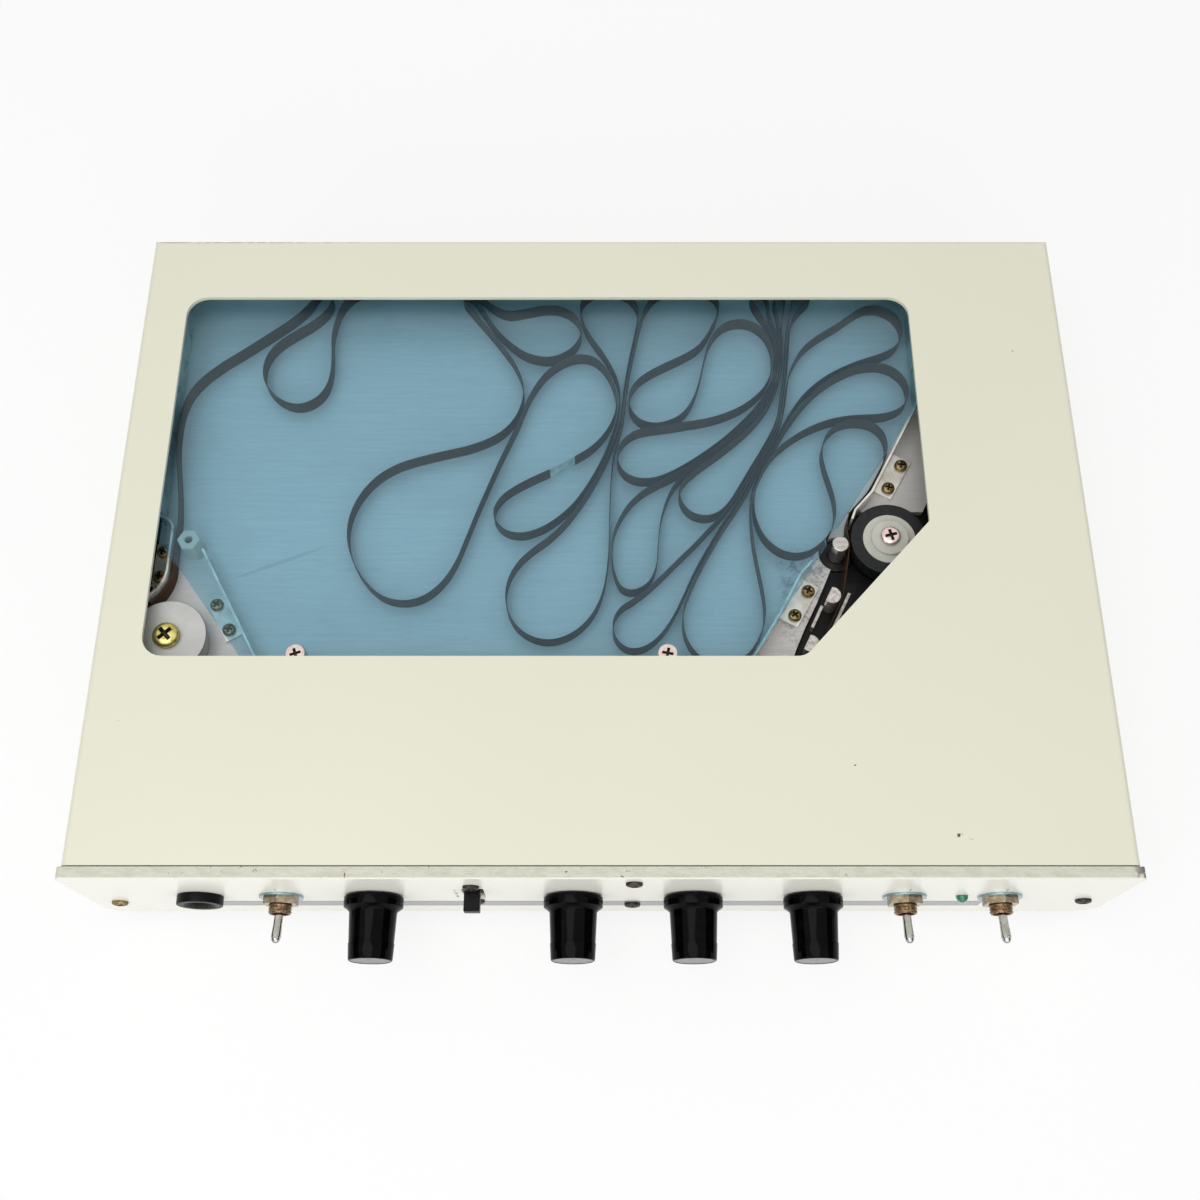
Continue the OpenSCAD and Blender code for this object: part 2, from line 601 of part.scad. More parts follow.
// Steel plate that carries the whole mechanism
module mechanism_deck() {
    color("#26272a") placed() difference() {
        plate([[-deck_side_x, deck_front_y], [deck_side_x, deck_front_y],
            [deck_side_x, deck_back_y], [-deck_side_x, deck_back_y]], deck_bottom, deck_t);
        at_each(pillar_places, deck_bottom - 1)
            cylinder(r = small_hole, h = deck_t + 2);
        at_each(head_screw_places, deck_bottom - 1)
            cylinder(r = small_hole, h = deck_t + 2);
        at_each([idler, pinch_pivot], deck_bottom - 1)
            cylinder(r = post_r + run_fit, h = deck_t + 2);
        at_each([capstan], deck_bottom - 1)
            cylinder(r = bearing_r + run_fit, h = deck_t + 2);
    }
}

// Round pillars between the case floor and the deck, and short ones under the circuit board
module pillars() {
    color("#c9c6bc") placed() {
        at_each(pillar_places, base_top)
            difference() {
                cylinder(r = pillar_r, h = deck_bottom - base_top);
                translate([0, 0, deck_bottom - base_top - 8])
                    cylinder(r = small_hole, h = 9);
            }
        at_each(board_places, base_top)
            cylinder(r = pillar_r, h = board_z - base_top);
    }
}

// Small brass screws: through the walls' foot tabs, into the pillars and the head plate
module deck_screws() {
    color("#8a7a4e") placed() {
        at_each(wall_screw_places, floor_z + foot_tab_t)
            pan_screw(2.3, 1.7, small_shank, 3);
        at_each(pillar_places, floor_bottom)
            pan_screw(2.3, 1.7, small_shank, 6);
        at_each(head_screw_places, floor_z)
            pan_screw(2.3, 1.7, small_shank, floor_t + deck_t);
    }
}

capstan_hole_r = 6.5;
floor_back = chamber_back + 7.5;
floor_outline = [[-157.5, floor_back], [-157.5, -52.8], [60, -52.8], [64.5, -46], [67.5, -38], [71, -30],
    [75.5, -21], [79.5, -12], capstan, [88.5, 10], [89, 14.6], [115.7, 14.6], [117.6, 18.6],
    [117.6, floor_back]];

// Brushed aluminium plate on which the folded tape stands
module chamber_floor() {
    color("#a9adae") placed() difference() {
        plate(floor_outline, floor_bottom, floor_t);
        at_each([capstan], floor_bottom - 1)
            cylinder(r = capstan_hole_r, h = floor_t + 2);
        at_each([idler], floor_bottom - 1)
            cylinder(r = post_r + run_fit, h = floor_t + 2);
        at_each(wall_screw_places, floor_bottom - 1)
            cylinder(r = small_hole, h = floor_t + 2);
    }
}

// A foot tab bent out of a wall, drilled at a and b, with the wall off to the left of a to b
module foot_tab(a, b, off) {
    reach = 3.4;
    edge = 2.7;
    len = norm(b - a) + 2 * reach;
    way = atan2(b[1] - a[1], b[0] - a[0]);
    difference() {
        translate([a[0], a[1], floor_z])
            rotate(way)
                translate([-reach, -edge, 0])
                    cube([len, edge + off, foot_tab_t]);
        at_each([a, b], floor_z - 1)
            cylinder(r = small_hole, h = foot_tab_t + 2);
    }
}

right_upper_line = [[115.6, 55], [101.1, 27.6], [96.2, 18.4], [89.8, 11.2], [88.4, 7.6]];
right_lower_line = [[73.6, -8.5], [69.2, -13.4], [60.8, -29.1], [52, -43.7], [49.4, -48]];
left_line = [[-139, -4], [-116.9, -44.2], [-115, -47.8]];
exit_line = [[-156, 9.5], [-151.6, 6.8], [-150.4, 4.6], [-150.4, -12.4], [-151, -15.4],
    [-152.8, -19], [-156.5, -22.4]];

// Bent sheet wall from the pinch roller to the right end of the chamber
module right_wall_upper() {
    color("#c9cccb") placed() {
        strip(right_upper_line, wall_t, floor_z, wall_h);
        foot_tab(right_upper_feet[0], right_upper_feet[1], 4.45);
    }
}

// Bent sheet wall from the capstan to the front of the chamber
module right_wall_lower() {
    color("#c9cccb") placed() {
        strip(right_lower_line, wall_t, floor_z, wall_h);
        foot_tab(right_lower_feet[0], right_lower_feet[1], 4.5);
    }
}

// Bent sheet wall from the bare standoff to the front of the chamber
module left_wall() {
    color("#c9cccb") placed() {
        strip(left_line, wall_t, floor_z, wall_h);
        foot_tab(left_feet[0], left_feet[1], 4.2);
    }
}

// C shaped guide that leads the tape out of the chamber to the idler
module exit_guide() {
    color("#c9cccb") placed() {
        strip(exit_line, wall_t, floor_z, wall_h);
        foot_tab(exit_feet[0], exit_feet[1], 4.5);
    }
}

// Fence round the hidden sides of the chamber
module chamber_fence() {
    color("#5b6063") placed() {
        strip([[chamber_right, 57], [chamber_right, chamber_back],
            [chamber_left, chamber_back], [chamber_left, 11]], wall_t, floor_z, wall_h);
        strip([[-113.6, chamber_front], [48, chamber_front]], wall_t, floor_z, wall_h);
    }
}

// Lid -----------------------------------------------------------------------------------------

standoff_af = 7;
standoff_bore = 1.35;
bare_standoff = [-144.1, -0.8];
lid_screw_places = [[-102.7, -44], [22.5, -43.9], [-148, 113.4], [-20, 113.4], [108, 113.4]];
lid_screw_r = 3.2;
lid_screw_h = 1.6;
lid_notch_r = 5.6;
lid_outline = [[-161, floor_back], [-165, 112], [-165, 12], [-148.9, -8.7], [-145, -13.3],
    [-116.4, -51.6], [47.4, -51.6], [118, 57.8], [118, floor_back]];

// Transparent blue acrylic sheet over the tape
module chamber_lid() {
    color("#7fb4d6", 0.6) placed() difference() {
        plate(lid_outline, lid_z, lid_t);
        at_each([capstan], lid_z - 1)
            cylinder(r = lid_notch_r, h = lid_t + 2);
        at_each(lid_screw_places, lid_z - 1)
            cylinder(r = small_hole + 0.1, h = lid_t + 2);
        at_each(lid_screw_places, lid_z + lid_t - lid_screw_h)
            cylinder(r1 = small_shank + 0.1, r2 = lid_screw_r + 0.15, h = lid_screw_h + 0.1);
    }
}

// White nylon hexagonal standoffs under the lid, one of them without a screw
module lid_standoffs() {
    color("#eef2f0") placed()
        at_each(concat([bare_standoff], lid_screw_places), floor_z)
            difference() {
                cylinder(r = standoff_af / 2 / cos(30), h = lid_rise, $fn = 6);
                translate([0, 0, 1])
                    cylinder(r = standoff_bore, h = lid_rise);
            }
}

// Countersunk screws of the lid
module lid_screws() {
    color("#cfc3bd") placed()
        at_each(lid_screw_places, lid_z + lid_t)
            flat_screw(lid_screw_r, lid_screw_h, small_shank, 7);
}

// Tape ----------------------------------------------------------------------------------------

// Distance from point q to the stretch between a and b
function stretch_gap(q, a, b) = let (
    d = b - a,
    t = max(0, min(1, ((q - a) * d) / (d * d))))
    norm(q - a - t * d);

// Least distance of a line to its own stretches that start skip or more points further on
function least_pitch(p, skip) = min([
    for (i = [0 : len(p) - 1])
        for (j = [i + skip : 1 : len(p) - 2])
            if (abs(p[i][0] - p[j][0]) < 4 && abs(p[i][1] - p[j][1]) < 4)
                stretch_gap(p[i], p[j], p[j + 1])]);

// The whole tape but for its splice, standing on edge in one unbroken strip
module echo_tape() {
    echo(least_gap_between_strands = least_pitch(tape_line, 6) - tape_t);
    color("#4a4e50") placed()
        strip(tape_line, tape_t, tape_z, tape_w);
}

// Clear splicing stretch that joins the tape's two ends
module tape_splice() {
    color("#a9cfe0") placed()
        strip(splice_line, tape_t, tape_z, tape_w);
}

// Tape drive ------------------------------------------------------------------------------------

idler_barrel_r = idler_r - 1.1;
idler_flange_t = 2;
idler_flange_z = tape_top + 0.35;
idler_top = idler_flange_z + idler_flange_t;
arm_t = 1.8;
arm_z = floor_bottom + 0.3;
arm_top = arm_z + arm_t;
pinch_pin_r = 2;
hub_step_r = 6.6;
tyre_z = tape_z;
tyre_top = floor_z + 7;
hub_top = floor_z + 8.6;
tail_pin_r = 1.2;
tail_top = floor_z + 3;
capstan_foot = 12;
capstan_top = floor_z + 9;
flywheel_z = 15;
flywheel_t = 9;
belt_z = flywheel_z + 3;
belt_w = 3;
belt_t = 1;
belt_gap = 0.3;
groove = 1;
motor_z = 26;
pulley_z = belt_z - 1.5;
pulley_h = 6;
bearing_flange_t = 2;

// Fixed posts of the idler and of the pinch arm, and the pin that holds the arm's spring
module deck_posts() {
    color("#9a9c9e") placed() {
        at_each([idler], deck_bottom - 2)
            difference() {
                cylinder(r = post_r, h = idler_top - deck_bottom + 1.7);
                translate([0, 0, idler_top - deck_bottom - 8])
                    cylinder(r = small_hole + 0.35, h = 12);
            }
        at_each([idler], deck_bottom - 2)
            cylinder(r = 4.5, h = 2);
        at_each([pinch_pivot], deck_bottom - 2) {
            cylinder(r = 4.5, h = 2);
            cylinder(r = post_r, h = arm_top - deck_bottom + 3.5);
        }
        at_each([pinch_pivot], arm_top + 0.3)
            cylinder(r = 4.5, h = 1.2);
        at_each([spring_anchor], floor_bottom) {
            cylinder(r = 3, h = 1.5);
            cylinder(r = tail_pin_r, h = tail_top - floor_bottom);
        }
    }
}

// Large yellow zinc screw that keeps the idler on its post
module idler_screw() {
    color("#c9b458") placed()
        at_each([idler], idler_top + 0.3)
            pan_screw(4.5, 2.9, 1.6, 7);
}

// Idler roller: a turned barrel under one wide flange
module idler_roller() {
    color("#c8c8c6") placed()
        at_each([idler])
            difference() {
                union() {
                    translate([0, 0, tape_z])
                        cylinder(r = idler_barrel_r, h = idler_flange_z - tape_z);
                    translate([0, 0, idler_flange_z])
                        cylinder(r = idler_r, h = idler_flange_t - 0.3);
                    translate([0, 0, idler_top - 0.3])
                        cylinder(r1 = idler_r, r2 = idler_r - 0.3, h = 0.3);
                }
                cylinder(r = post_r + run_fit, h = top_z);
            }
}

// Flanged bearing of the capstan, up through the deck
module capstan_bearing() {
    color("#6d6350") placed()
        at_each([capstan])
            difference() {
                union() {
                    translate([0, 0, flywheel_z + flywheel_t + 1])
                        cylinder(r = bearing_r, h = floor_bottom - flywheel_z - flywheel_t);
                    translate([0, 0, deck_bottom - bearing_flange_t])
                        cylinder(r = 10, h = bearing_flange_t);
                }
                cylinder(r = capstan_r + run_fit, h = top_z);
            }
}

// Capstan: a ground steel shaft with a chamfered top
module capstan_shaft() {
    color("#c6c3bd") placed()
        at_each([capstan]) {
            translate([0, 0, capstan_foot])
                cylinder(r = capstan_r, h = capstan_top - capstan_foot - 0.3);
            translate([0, 0, capstan_top - 0.3])
                cylinder(r1 = capstan_r, r2 = capstan_r - 0.3, h = 0.3);
        }
}

// Flywheel pressed on the capstan, with a groove for the belt
module flywheel() {
    color("#8b8d8f") placed()
        at_each([capstan])
            difference() {
                translate([0, 0, flywheel_z])
                    cylinder(r = flywheel_r, h = flywheel_t);
                translate([0, 0, belt_z - 0.4])
                    difference() {
                        cylinder(r = flywheel_r + 1, h = belt_w + 0.8);
                        translate([0, 0, -1])
                            cylinder(r = flywheel_r - groove, h = belt_w + 3);
                    }
                cylinder(r = capstan_r, h = top_z);
            }
}

// Motor pulley on its own shaft
module motor_pulley() {
    color("#b59a5b") placed()
        at_each([motor]) {
            translate([0, 0, pulley_z])
                cylinder(r = pulley_r + 1.3, h = belt_z - 0.4 - pulley_z);
            translate([0, 0, belt_z - 0.4])
                cylinder(r = pulley_r, h = belt_w + 0.8);
            translate([0, 0, belt_z + belt_w + 0.4])
                cylinder(r = pulley_r + 1.3, h = pulley_z + pulley_h - belt_z - belt_w - 0.4);
            translate([0, 0, pulley_z])
                cylinder(r = motor_shaft_r, h = motor_z + 8 - pulley_z);
        }
}

// Round motor hung under the deck
module drive_motor() {
    color("#9fa3a6") placed()
        at_each([motor], motor_z)
            difference() {
                union() {
                    cylinder(r = motor_r, h = deck_bottom - motor_z);
                    translate([0, 0, -1.2])
                        cylinder(r = 4, h = 1.2);
                }
                translate([0, 0, -2])
                    cylinder(r = motor_shaft_r + run_fit, h = 11);
            }
}

// Outline of a belt laid round circles of radius ra at a and rb at b
function belt_outline(a, ra, b, rb) = let (
    away = b - a,
    way = atan2(away[1], away[0]),
    lean = acos((ra - rb) / norm(away)))
    concat(
        [for (k = [0 : 24])
            let (w = way + lean + (360 - 2 * lean) * k / 24) a + ra * [cos(w), sin(w)]],
        [for (k = [0 : 12])
            let (w = way - lean + 2 * lean * k / 12) b + rb * [cos(w), sin(w)]]);

// Flat rubber belt from the motor pulley to the flywheel
module drive_belt() {
    inner_a = flywheel_r - groove + belt_gap;
    inner_b = pulley_r + belt_gap;
    color("#1d1d1f") placed()
        translate([0, 0, belt_z])
            linear_extrude(belt_w)
                difference() {
                    polygon(belt_outline(capstan, inner_a + belt_t, motor, inner_b + belt_t));
                    polygon(belt_outline(capstan, inner_a, motor, inner_b));
                }
}

// Outline of a flat bar of width w from a to b
module bar(a, b, w) {
    polygon(strip_outline([a, b], w));
}

// Outline of the pinch arm: three round eyes joined by two bars
module arm_outline() {
    at_each([pinch]) circle(r = 8);
    at_each([pinch_pivot]) circle(r = 7);
    at_each([pinch_tail]) circle(r = 4);
    bar(pinch, pinch_pivot, 13);
    bar(pinch_pivot, pinch_tail, 7);
}

// Black lever that carries the pinch roller on a pin and hooks the spring on its tail
module pinch_arm() {
    color("#1b1b1d") placed() difference() {
        union() {
            translate([0, 0, arm_z])
                linear_extrude(arm_t)
                    arm_outline();
            at_each([pinch], arm_z) {
                cylinder(r = 3.2, h = tyre_z - arm_z - run_fit);
                cylinder(r = pinch_pin_r, h = hub_top + 0.2 - arm_z);
            }
            at_each([pinch_tail], arm_z)
                cylinder(r = tail_pin_r, h = tail_top - arm_z);
        }
        at_each([pinch_pivot], arm_z - 1)
            cylinder(r = post_r + run_fit, h = arm_t + 2);
        at_each([pinch], hub_top - 5)
            cylinder(r = small_shank + 0.05, h = 6);
    }
}

// Wide Phillips screw on top of the pinch roller
module pinch_screw() {
    color("#d3bfc6") placed()
        at_each([pinch], hub_top + 0.2)
            pan_screw(3.5, 1.8, small_shank, 4);
}

// Stepped nylon hub of the pinch roller
module pinch_hub() {
    color("#dcdccf") placed()
        at_each([pinch])
            difference() {
                union() {
                    translate([0, 0, tyre_z])
                        cylinder(r = pinch_hub_r, h = tyre_top - tyre_z + 0.3);
                    translate([0, 0, tyre_top + 0.3])
                        cylinder(r = hub_step_r, h = hub_top - tyre_top - 0.3);
                }
                cylinder(r = pinch_pin_r + run_fit, h = top_z);
            }
}

// Rubber tyre of the pinch roller
module pinch_tyre() {
    color("#2f3233") placed()
        at_each([pinch])
            difference() {
                translate([0, 0, tyre_z])
                    cylinder(r = pinch_r, h = tyre_top - tyre_z);
                cylinder(r = pinch_hub_r, h = top_z);
            }
}

spring_turns = 14;
spring_steps = 8;
spring_r = 2.2;
spring_wire_r = 0.4;
spring_lead = 3.6;
spring_z = (arm_top + tail_top) / 2 + 0.3;
spring_way = unit(spring_anchor - pinch_tail);
spring_turn = atan2(spring_way[1], spring_way[0]);

// Points of a hook round the pin at c, from angle a to angle b, at the spring's height
function hook(c, a, b) = let (r = tail_pin_r + spring_wire_r + 0.2)
    [for (k = [0 : 8])
        let (w = spring_turn + a + (b - a) * k / 8)
            [c[0] + r * cos(w), c[1] + r * sin(w), spring_z]];

// The coil's points, from one hook to the other
spring_coil = let (
    along = concat(spring_way, 0),
    aside = concat(left_of(spring_way), 0),
    from = concat(pinch_tail, spring_z) + spring_lead * along,
    span = norm(spring_anchor - pinch_tail) - 2 * spring_lead,
    last = spring_turns * spring_steps)
    [for (k = [0 : last])
        let (w = 360 * k / spring_steps)
            from + along * span * k / last + spring_r * (cos(w) * aside + sin(w) * [0, 0, 1])];

// Pull spring between the arm's tail and the deck
module pinch_spring() {
    echo(least_gap_between_turns =
        least_pitch(spring_coil, spring_steps - 2) - 2 * spring_wire_r);
    color("#b9b4a6") placed()
        tube(concat(hook(pinch_tail, 60, 300), spring_coil, hook(spring_anchor, -120, 120)),
            spring_wire_r, 6);
}

// Heads and guides --------------------------------------------------------------------------

bracket_t = 0.9;
bracket_outline = [[80.8, -13], [91, -13], [80.4, -38], [74, -48], [63, -55], [61.4, -53.4],
    [65.3, -46], [68.3, -38], [71.8, -30], [76.3, -21]];
right_rib = [[87.2, -17.1], [78.4, -35.1]];
left_rib = [[76.8, -23.2], [72.9, -31.2]];
head_face_y = -50.45;
head_nose_r = 5;
head_h = 7.8;
erase_x = -112;
record_x = -88;
playback_x = [-50, -12, 26];

// A half round post with its flat side towards the wall
module half_post(p) {
    translate([p[0], p[1], floor_bottom])
        difference() {
            cylinder(r = guide_post_r, h = floor_z + 8 - floor_bottom);
            rotate(63)
                translate([-6, 1.2, bracket_t])
                    cube([12, 6, 20]);
        }
}

// Plated channel bracket with the two half round tape posts, and the corner post
module guide_bracket() {
    rib_t = 1;
    color("#bfbdb6") placed() {
        plate(bracket_outline, floor_bottom, bracket_t);
        strip(right_rib, rib_t, floor_bottom, floor_z - 0.1 - floor_bottom);
        strip(left_rib, rib_t, floor_bottom, floor_z + 3 - floor_bottom);
        for (p = guide_posts)
            half_post(p);
        at_each([corner_post], floor_z)
            cylinder(r = guide_post_r, h = 8);
    }
}

// Plate that carries the row of heads
module head_plate() {
    b = head_plate_box;
    color("#8f9294") placed() difference() {
        translate([b[0], b[1], floor_bottom])
            cube([b[2] - b[0], b[3] - b[1], floor_t]);
        at_each(head_screw_places, floor_bottom - 1)
            cylinder(r = small_hole, h = floor_t + 2);
    }
}

// A tape head: a case of width w with a rounded nose against the tape
module head(x, w) {
    translate([x, head_face_y, floor_z]) {
        translate([-w / 2, -13.5, 0])
            cube([w, 10, head_h]);
        translate([0, -head_nose_r, 0.2])
            cylinder(r = head_nose_r, h = head_h - 0.2);
        translate([-w / 2 + 1.5, -16.5, 1])
            cube([w - 3, 3.5, head_h - 3]);
    }
}

module erase_head() {
    color("#3b3f44") placed() head(erase_x, 11);
}

module record_head() {
    color("#b6b8b8") placed() head(record_x, 13);
}

module playback_heads() {
    color("#b6b8b8") placed()
        for (x = playback_x)
            head(x, 13);
}

// Electronics -------------------------------------------------------------------------------

transformer_at = [-118, 68];
core = [52, 26, 44];
core_h = 29;

// Mains transformer: a laminated core round a wound bobbin, on a strap with two feet
module transformer() {
    x = transformer_at[0];
    y = transformer_at[1];
    color("#6a5f4e") placed() {
        translate([x - core[0] / 2, y - core[1] / 2, base_top])
            cube([core[0], core[1], core_h]);
        translate([x - core[0] / 2 + 10, y - core[2] / 2, base_top + 4])
            cube([core[0] - 20, core[2], core_h - 8]);
        translate([x - core[0] / 2 - 9, y - core[1] / 2 + 4, base_top])
            cube([core[0] + 18, core[1] - 8, 1.5]);
    }
}

// Main circuit board behind the panel
module circuit_board() {
    a = board_places[0];
    b = board_places[3];
    edge = 5;
    color("#2f6b46") placed() difference() {
        translate([a[0] - edge, a[1] - edge, board_z])
            cube([b[0] - a[0] + 2 * edge, b[1] - a[1] + 2 * edge, board_t]);
        at_each([for (x = [-120, -84]) for (y = [-62, -50]) [x, y]], board_z - 1)
            cylinder(r = 0.6, h = board_t + 2);
    }
}

// Chips, electrolytic capacitors, a regulator and connectors on the board
module board_parts() {
    z = board_z + board_t;
    color("#20242c") placed() {
        for (x = [-136, -110, -84, -58])
            translate([x - 10, -88, z])
                cube([20, 6.5, 3.6]);
        for (x = [-140, -122, -104, -86, -68, -50])
            translate([x, -68, z])
                cylinder(r = 4, h = 11);
        for (x = [-140, -100])
            translate([x, -46, z])
                cube([24, 6, 8]);
        translate([-60, -48, z])
            cube([16, 4.5, 15]);
    }
}

pot_r = 8.5;
pot_depth = 10;
pot_nut_h = 2.2;
knob_shaft_r = 3;

// The four potentiometers: can, threaded bushing through the panel and nut
module potentiometers() {
    back = sub_panel_y;
    color("#a7a59b") placed()
        for (x = knob_x)
            difference() {
                union() {
                    along_y(x, back, control_z, pot_r, pot_depth);
                    along_y(x, face_y - 3.2, control_z, pot_bush_r, 3.2 + back - face_y + 1);
                    translate([x, face_y, control_z])
                        rotate([90, 0, 0])
                            cylinder(r = 5.7, h = pot_nut_h, $fn = 6);
                }
                along_y(x, face_y - 5, control_z, knob_shaft_r + run_fit, 5 + 11);
            }
}

toggle_bush_out = 6;
toggle_pivot_out = 2.4;
toggle_bore = 2.8;
lever_r = 1.45;

// The three toggle switches: body behind the panel, ridged bushing out through it
module toggle_switches() {
    ridge = 0.28;
    pitch = 1;
    color("#8f7b5f") placed()
        for (x = toggle_x) {
            difference() {
                union() {
                    translate([x - 6.5, sub_panel_y, control_z - 4.5])
                        cube([13, 11, 9]);
                    along_y(x, face_y - toggle_bush_out, control_z, toggle_bush_r - ridge,
                        toggle_bush_out + sub_panel_y - face_y + 1);
                    for (k = [0 : 3])
                        along_y(x, face_y - toggle_bush_out + 0.4 + k * pitch, control_z,
                            toggle_bush_r, pitch / 2);
                }
                along_y(x, face_y - toggle_bush_out - 1, control_z, toggle_bore,
                    toggle_bush_out + 4);
            }
            for (k = [-1 : 1])
                translate([x - 1, sub_panel_y + 11, control_z + k * 3.2 - 0.4])
                    cube([2, 4, 0.8]);
        }
}

toggle_washer_r = 7.2;
toggle_washer_t = 0.8;
toggle_nut_r = 6;
toggle_nut_h = 2.2;

// A washer and a hexagon nut on each toggle's bushing
module toggle_nuts() {
    color("#a89a86") placed()
        for (x = toggle_x)
            difference() {
                union() {
                    along_y(x, face_y - toggle_washer_t, control_z, toggle_washer_r,
                        toggle_washer_t);
                    translate([x, face_y - toggle_washer_t, control_z])
                        rotate([90, 30, 0])
                            cylinder(r = toggle_nut_r, h = toggle_nut_h, $fn = 6);
                }
                along_y(x, face_y - 5, control_z, toggle_bush_r + 0.08, 6);
            }
}

// A toggle's lever, tilted up, with the ball it turns on inside the bushing
module toggle_lever(n) {
    pivot_y = face_y - toggle_pivot_out;
    reach = toggle_bush_out - toggle_pivot_out + lever_len;
    color("#d7d8d6") placed()
        translate([toggle_x[n], pivot_y, control_z])
            rotate([90 - lever_tilt, 0, 0]) {
                sphere(r = toggle_bore - 0.25);
                cylinder(r = lever_r, h = reach - lever_r);
                translate([0, 0, reach - lever_r])
                    sphere(r = lever_r);
                translate([0, 0, reach * 0.55])
                    cylinder(r1 = lever_r, r2 = lever_r + 0.2, h = reach * 0.3);
            }
}

module toggle_lever_1() toggle_lever(0);
module toggle_lever_2() toggle_lever(1);
module toggle_lever_3() toggle_lever(2);

slide_w = 5.2;
slide_h = 4;
slide_out = 7;
slide_in = 5;
slide_play = 0.3;
slide_rest_z = slot_top - 0.45 - slide_h / 2;

// Body of the three position slide switch behind its slot
module mode_switch() {
    wall = 2.5;
    h = slot_top - slot_bottom;
    color("#3a3c40") placed() {
        difference() {
            translate([mode_x - slide_w / 2 - wall, sub_panel_y, slot_bottom - wall])
                cube([slide_w + 2 * wall, 10, h + 2 * wall]);
            translate([mode_x - slide_w / 2 - slide_play, sub_panel_y - 1, slot_bottom])
                cube([slide_w + 2 * slide_play, 1 + slide_in + slide_play, h]);
        }
        for (k = [-1 : 1])
            translate([mode_x - 1, sub_panel_y + 10, slot_mid + k * 4 - 0.4])
                cube([2, 4, 0.8]);
    }
}

// Black lever of the slide switch, in its top position
module mode_lever() {
    color("#17181a") placed()
        translate([mode_x - slide_w / 2, face_y - slide_out, slide_rest_z - slide_h / 2])
            cube([slide_w, slide_out + sub_panel_y - face_y + slide_in, slide_h]);
}

// A skirted knob with its grey cap, and the potentiometer's shaft that turns with it
module knob(n) {
    gap = 0.4;
    skirt_h = 3.7;
    cone_h = 1.6;
    body_r = knob_cap_r + 0.6;
    len = knob_out - gap;
    color("#151517") placed()
        translate([knob_x[n], face_y - gap, control_z])
            rotate([90, 0, 0]) {
                difference() {
                    union() {
                        cylinder(r = knob_skirt_r, h = skirt_h);
                        translate([0, 0, skirt_h])
                            cylinder(r1 = knob_skirt_r - 0.4, r2 = body_r, h = cone_h);
                        translate([0, 0, skirt_h + cone_h])
                            cylinder(r1 = body_r, r2 = knob_cap_r, h = len - skirt_h - cone_h);
                    }
                    translate([0, 0, -1])
                        cylinder(r = 6.4, h = 5.2);
                }
                translate([0, 0, -10])
                    cylinder(r = knob_shaft_r, h = 18);
            }
}

module knob_1() knob(0);
module knob_2() knob(1);
module knob_3() knob(2);
module knob_4() knob(3);

jack_bore = 3.3;
jack_len = 26;

// Jack socket along Y with its front at y = 0 and its body behind the wall at y = wall
module jack(wall) {
    collar_r = 7.5;
    collar_h = 3.2;
    difference() {
        union() {
            along_y(0, -collar_h, 0, collar_r, collar_h);
            along_y(0, -collar_h, 0, jack_r, collar_h + wall + 1);
            translate([-8, wall, -8])
                cube([16, jack_len - wall, 16]);
        }
        along_y(0, -collar_h - 1, 0, jack_bore, collar_h + jack_len - 1);
        translate([0, -collar_h, 0])
            rotate([-90, 0, 0])
                translate([0, 0, -0.1])
                    cylinder(r1 = jack_bore + 2.4, r2 = jack_bore, h = 1.6);
    }
}

// Input socket at the left of the front panel
module input_jack() {
    color("#1a1b1d") placed()
        translate([jack_x, face_y, control_z])
            jack(sub_panel_y - face_y);
}

// Two output sockets on the back
module output_jacks() {
    color("#1a1b1d") placed()
        for (x = output_jack_x)
            translate([x, rear_panel_y, rear_z])
                rotate(180)
                    jack(sheet_t);
}

// Green lamp, a domed body from behind through the panel
module power_led() {
    color("#2f8f5c") placed() {
        along_y(led_x, face_y - 0.3, control_z, led_r, sub_panel_y - face_y + 3);
        translate([led_x, face_y - 0.3, control_z])
            sphere(r = led_r);
        along_y(led_x, sub_panel_y, control_z, led_r + 0.5, 1);
    }
}

// Gland for the mains cord, its bore empty
module cord_inlet() {
    gland_r = 9;
    out = rear_y + gland_out - rear_panel_y;
    cord_r = 3.2;
    color("#202123") placed()
        translate([cord_x, rear_panel_y, rear_z])
            rotate([-90, 0, 0])
                difference() {
                    union() {
                        cylinder(r = gland_r, h = out * 0.5, $fn = 6);
                        translate([0, 0, out * 0.5])
                            cylinder(r1 = cord_hole_r, r2 = cord_hole_r - 1.6, h = out * 0.5);
                        translate([0, 0, -10])
                            cylinder(r = cord_hole_r, h = 10);
                        translate([0, 0, -sheet_t - 3])
                            cylinder(r = gland_r, h = 3, $fn = 6);
                    }
                    translate([0, 0, -11])
                        cylinder(r = cord_r, h = out + 12);
                }
}

// Panel fuse holder with its screw cap
module fuse_holder() {
    color("#1f2022") placed() difference() {
        union() {
            along_y(fuse_x, rear_panel_y - 26, rear_z, fuse_hole_r, 26);
            along_y(fuse_x, rear_panel_y, rear_z, fuse_hole_r + 2, 2);
            along_y(fuse_x, rear_panel_y + 2, rear_z, fuse_hole_r + 0.6, 5);
        }
        translate([fuse_x - 5, rear_panel_y + 5.5, rear_z - 0.7])
            cube([10, 3, 1.4]);
    }
}

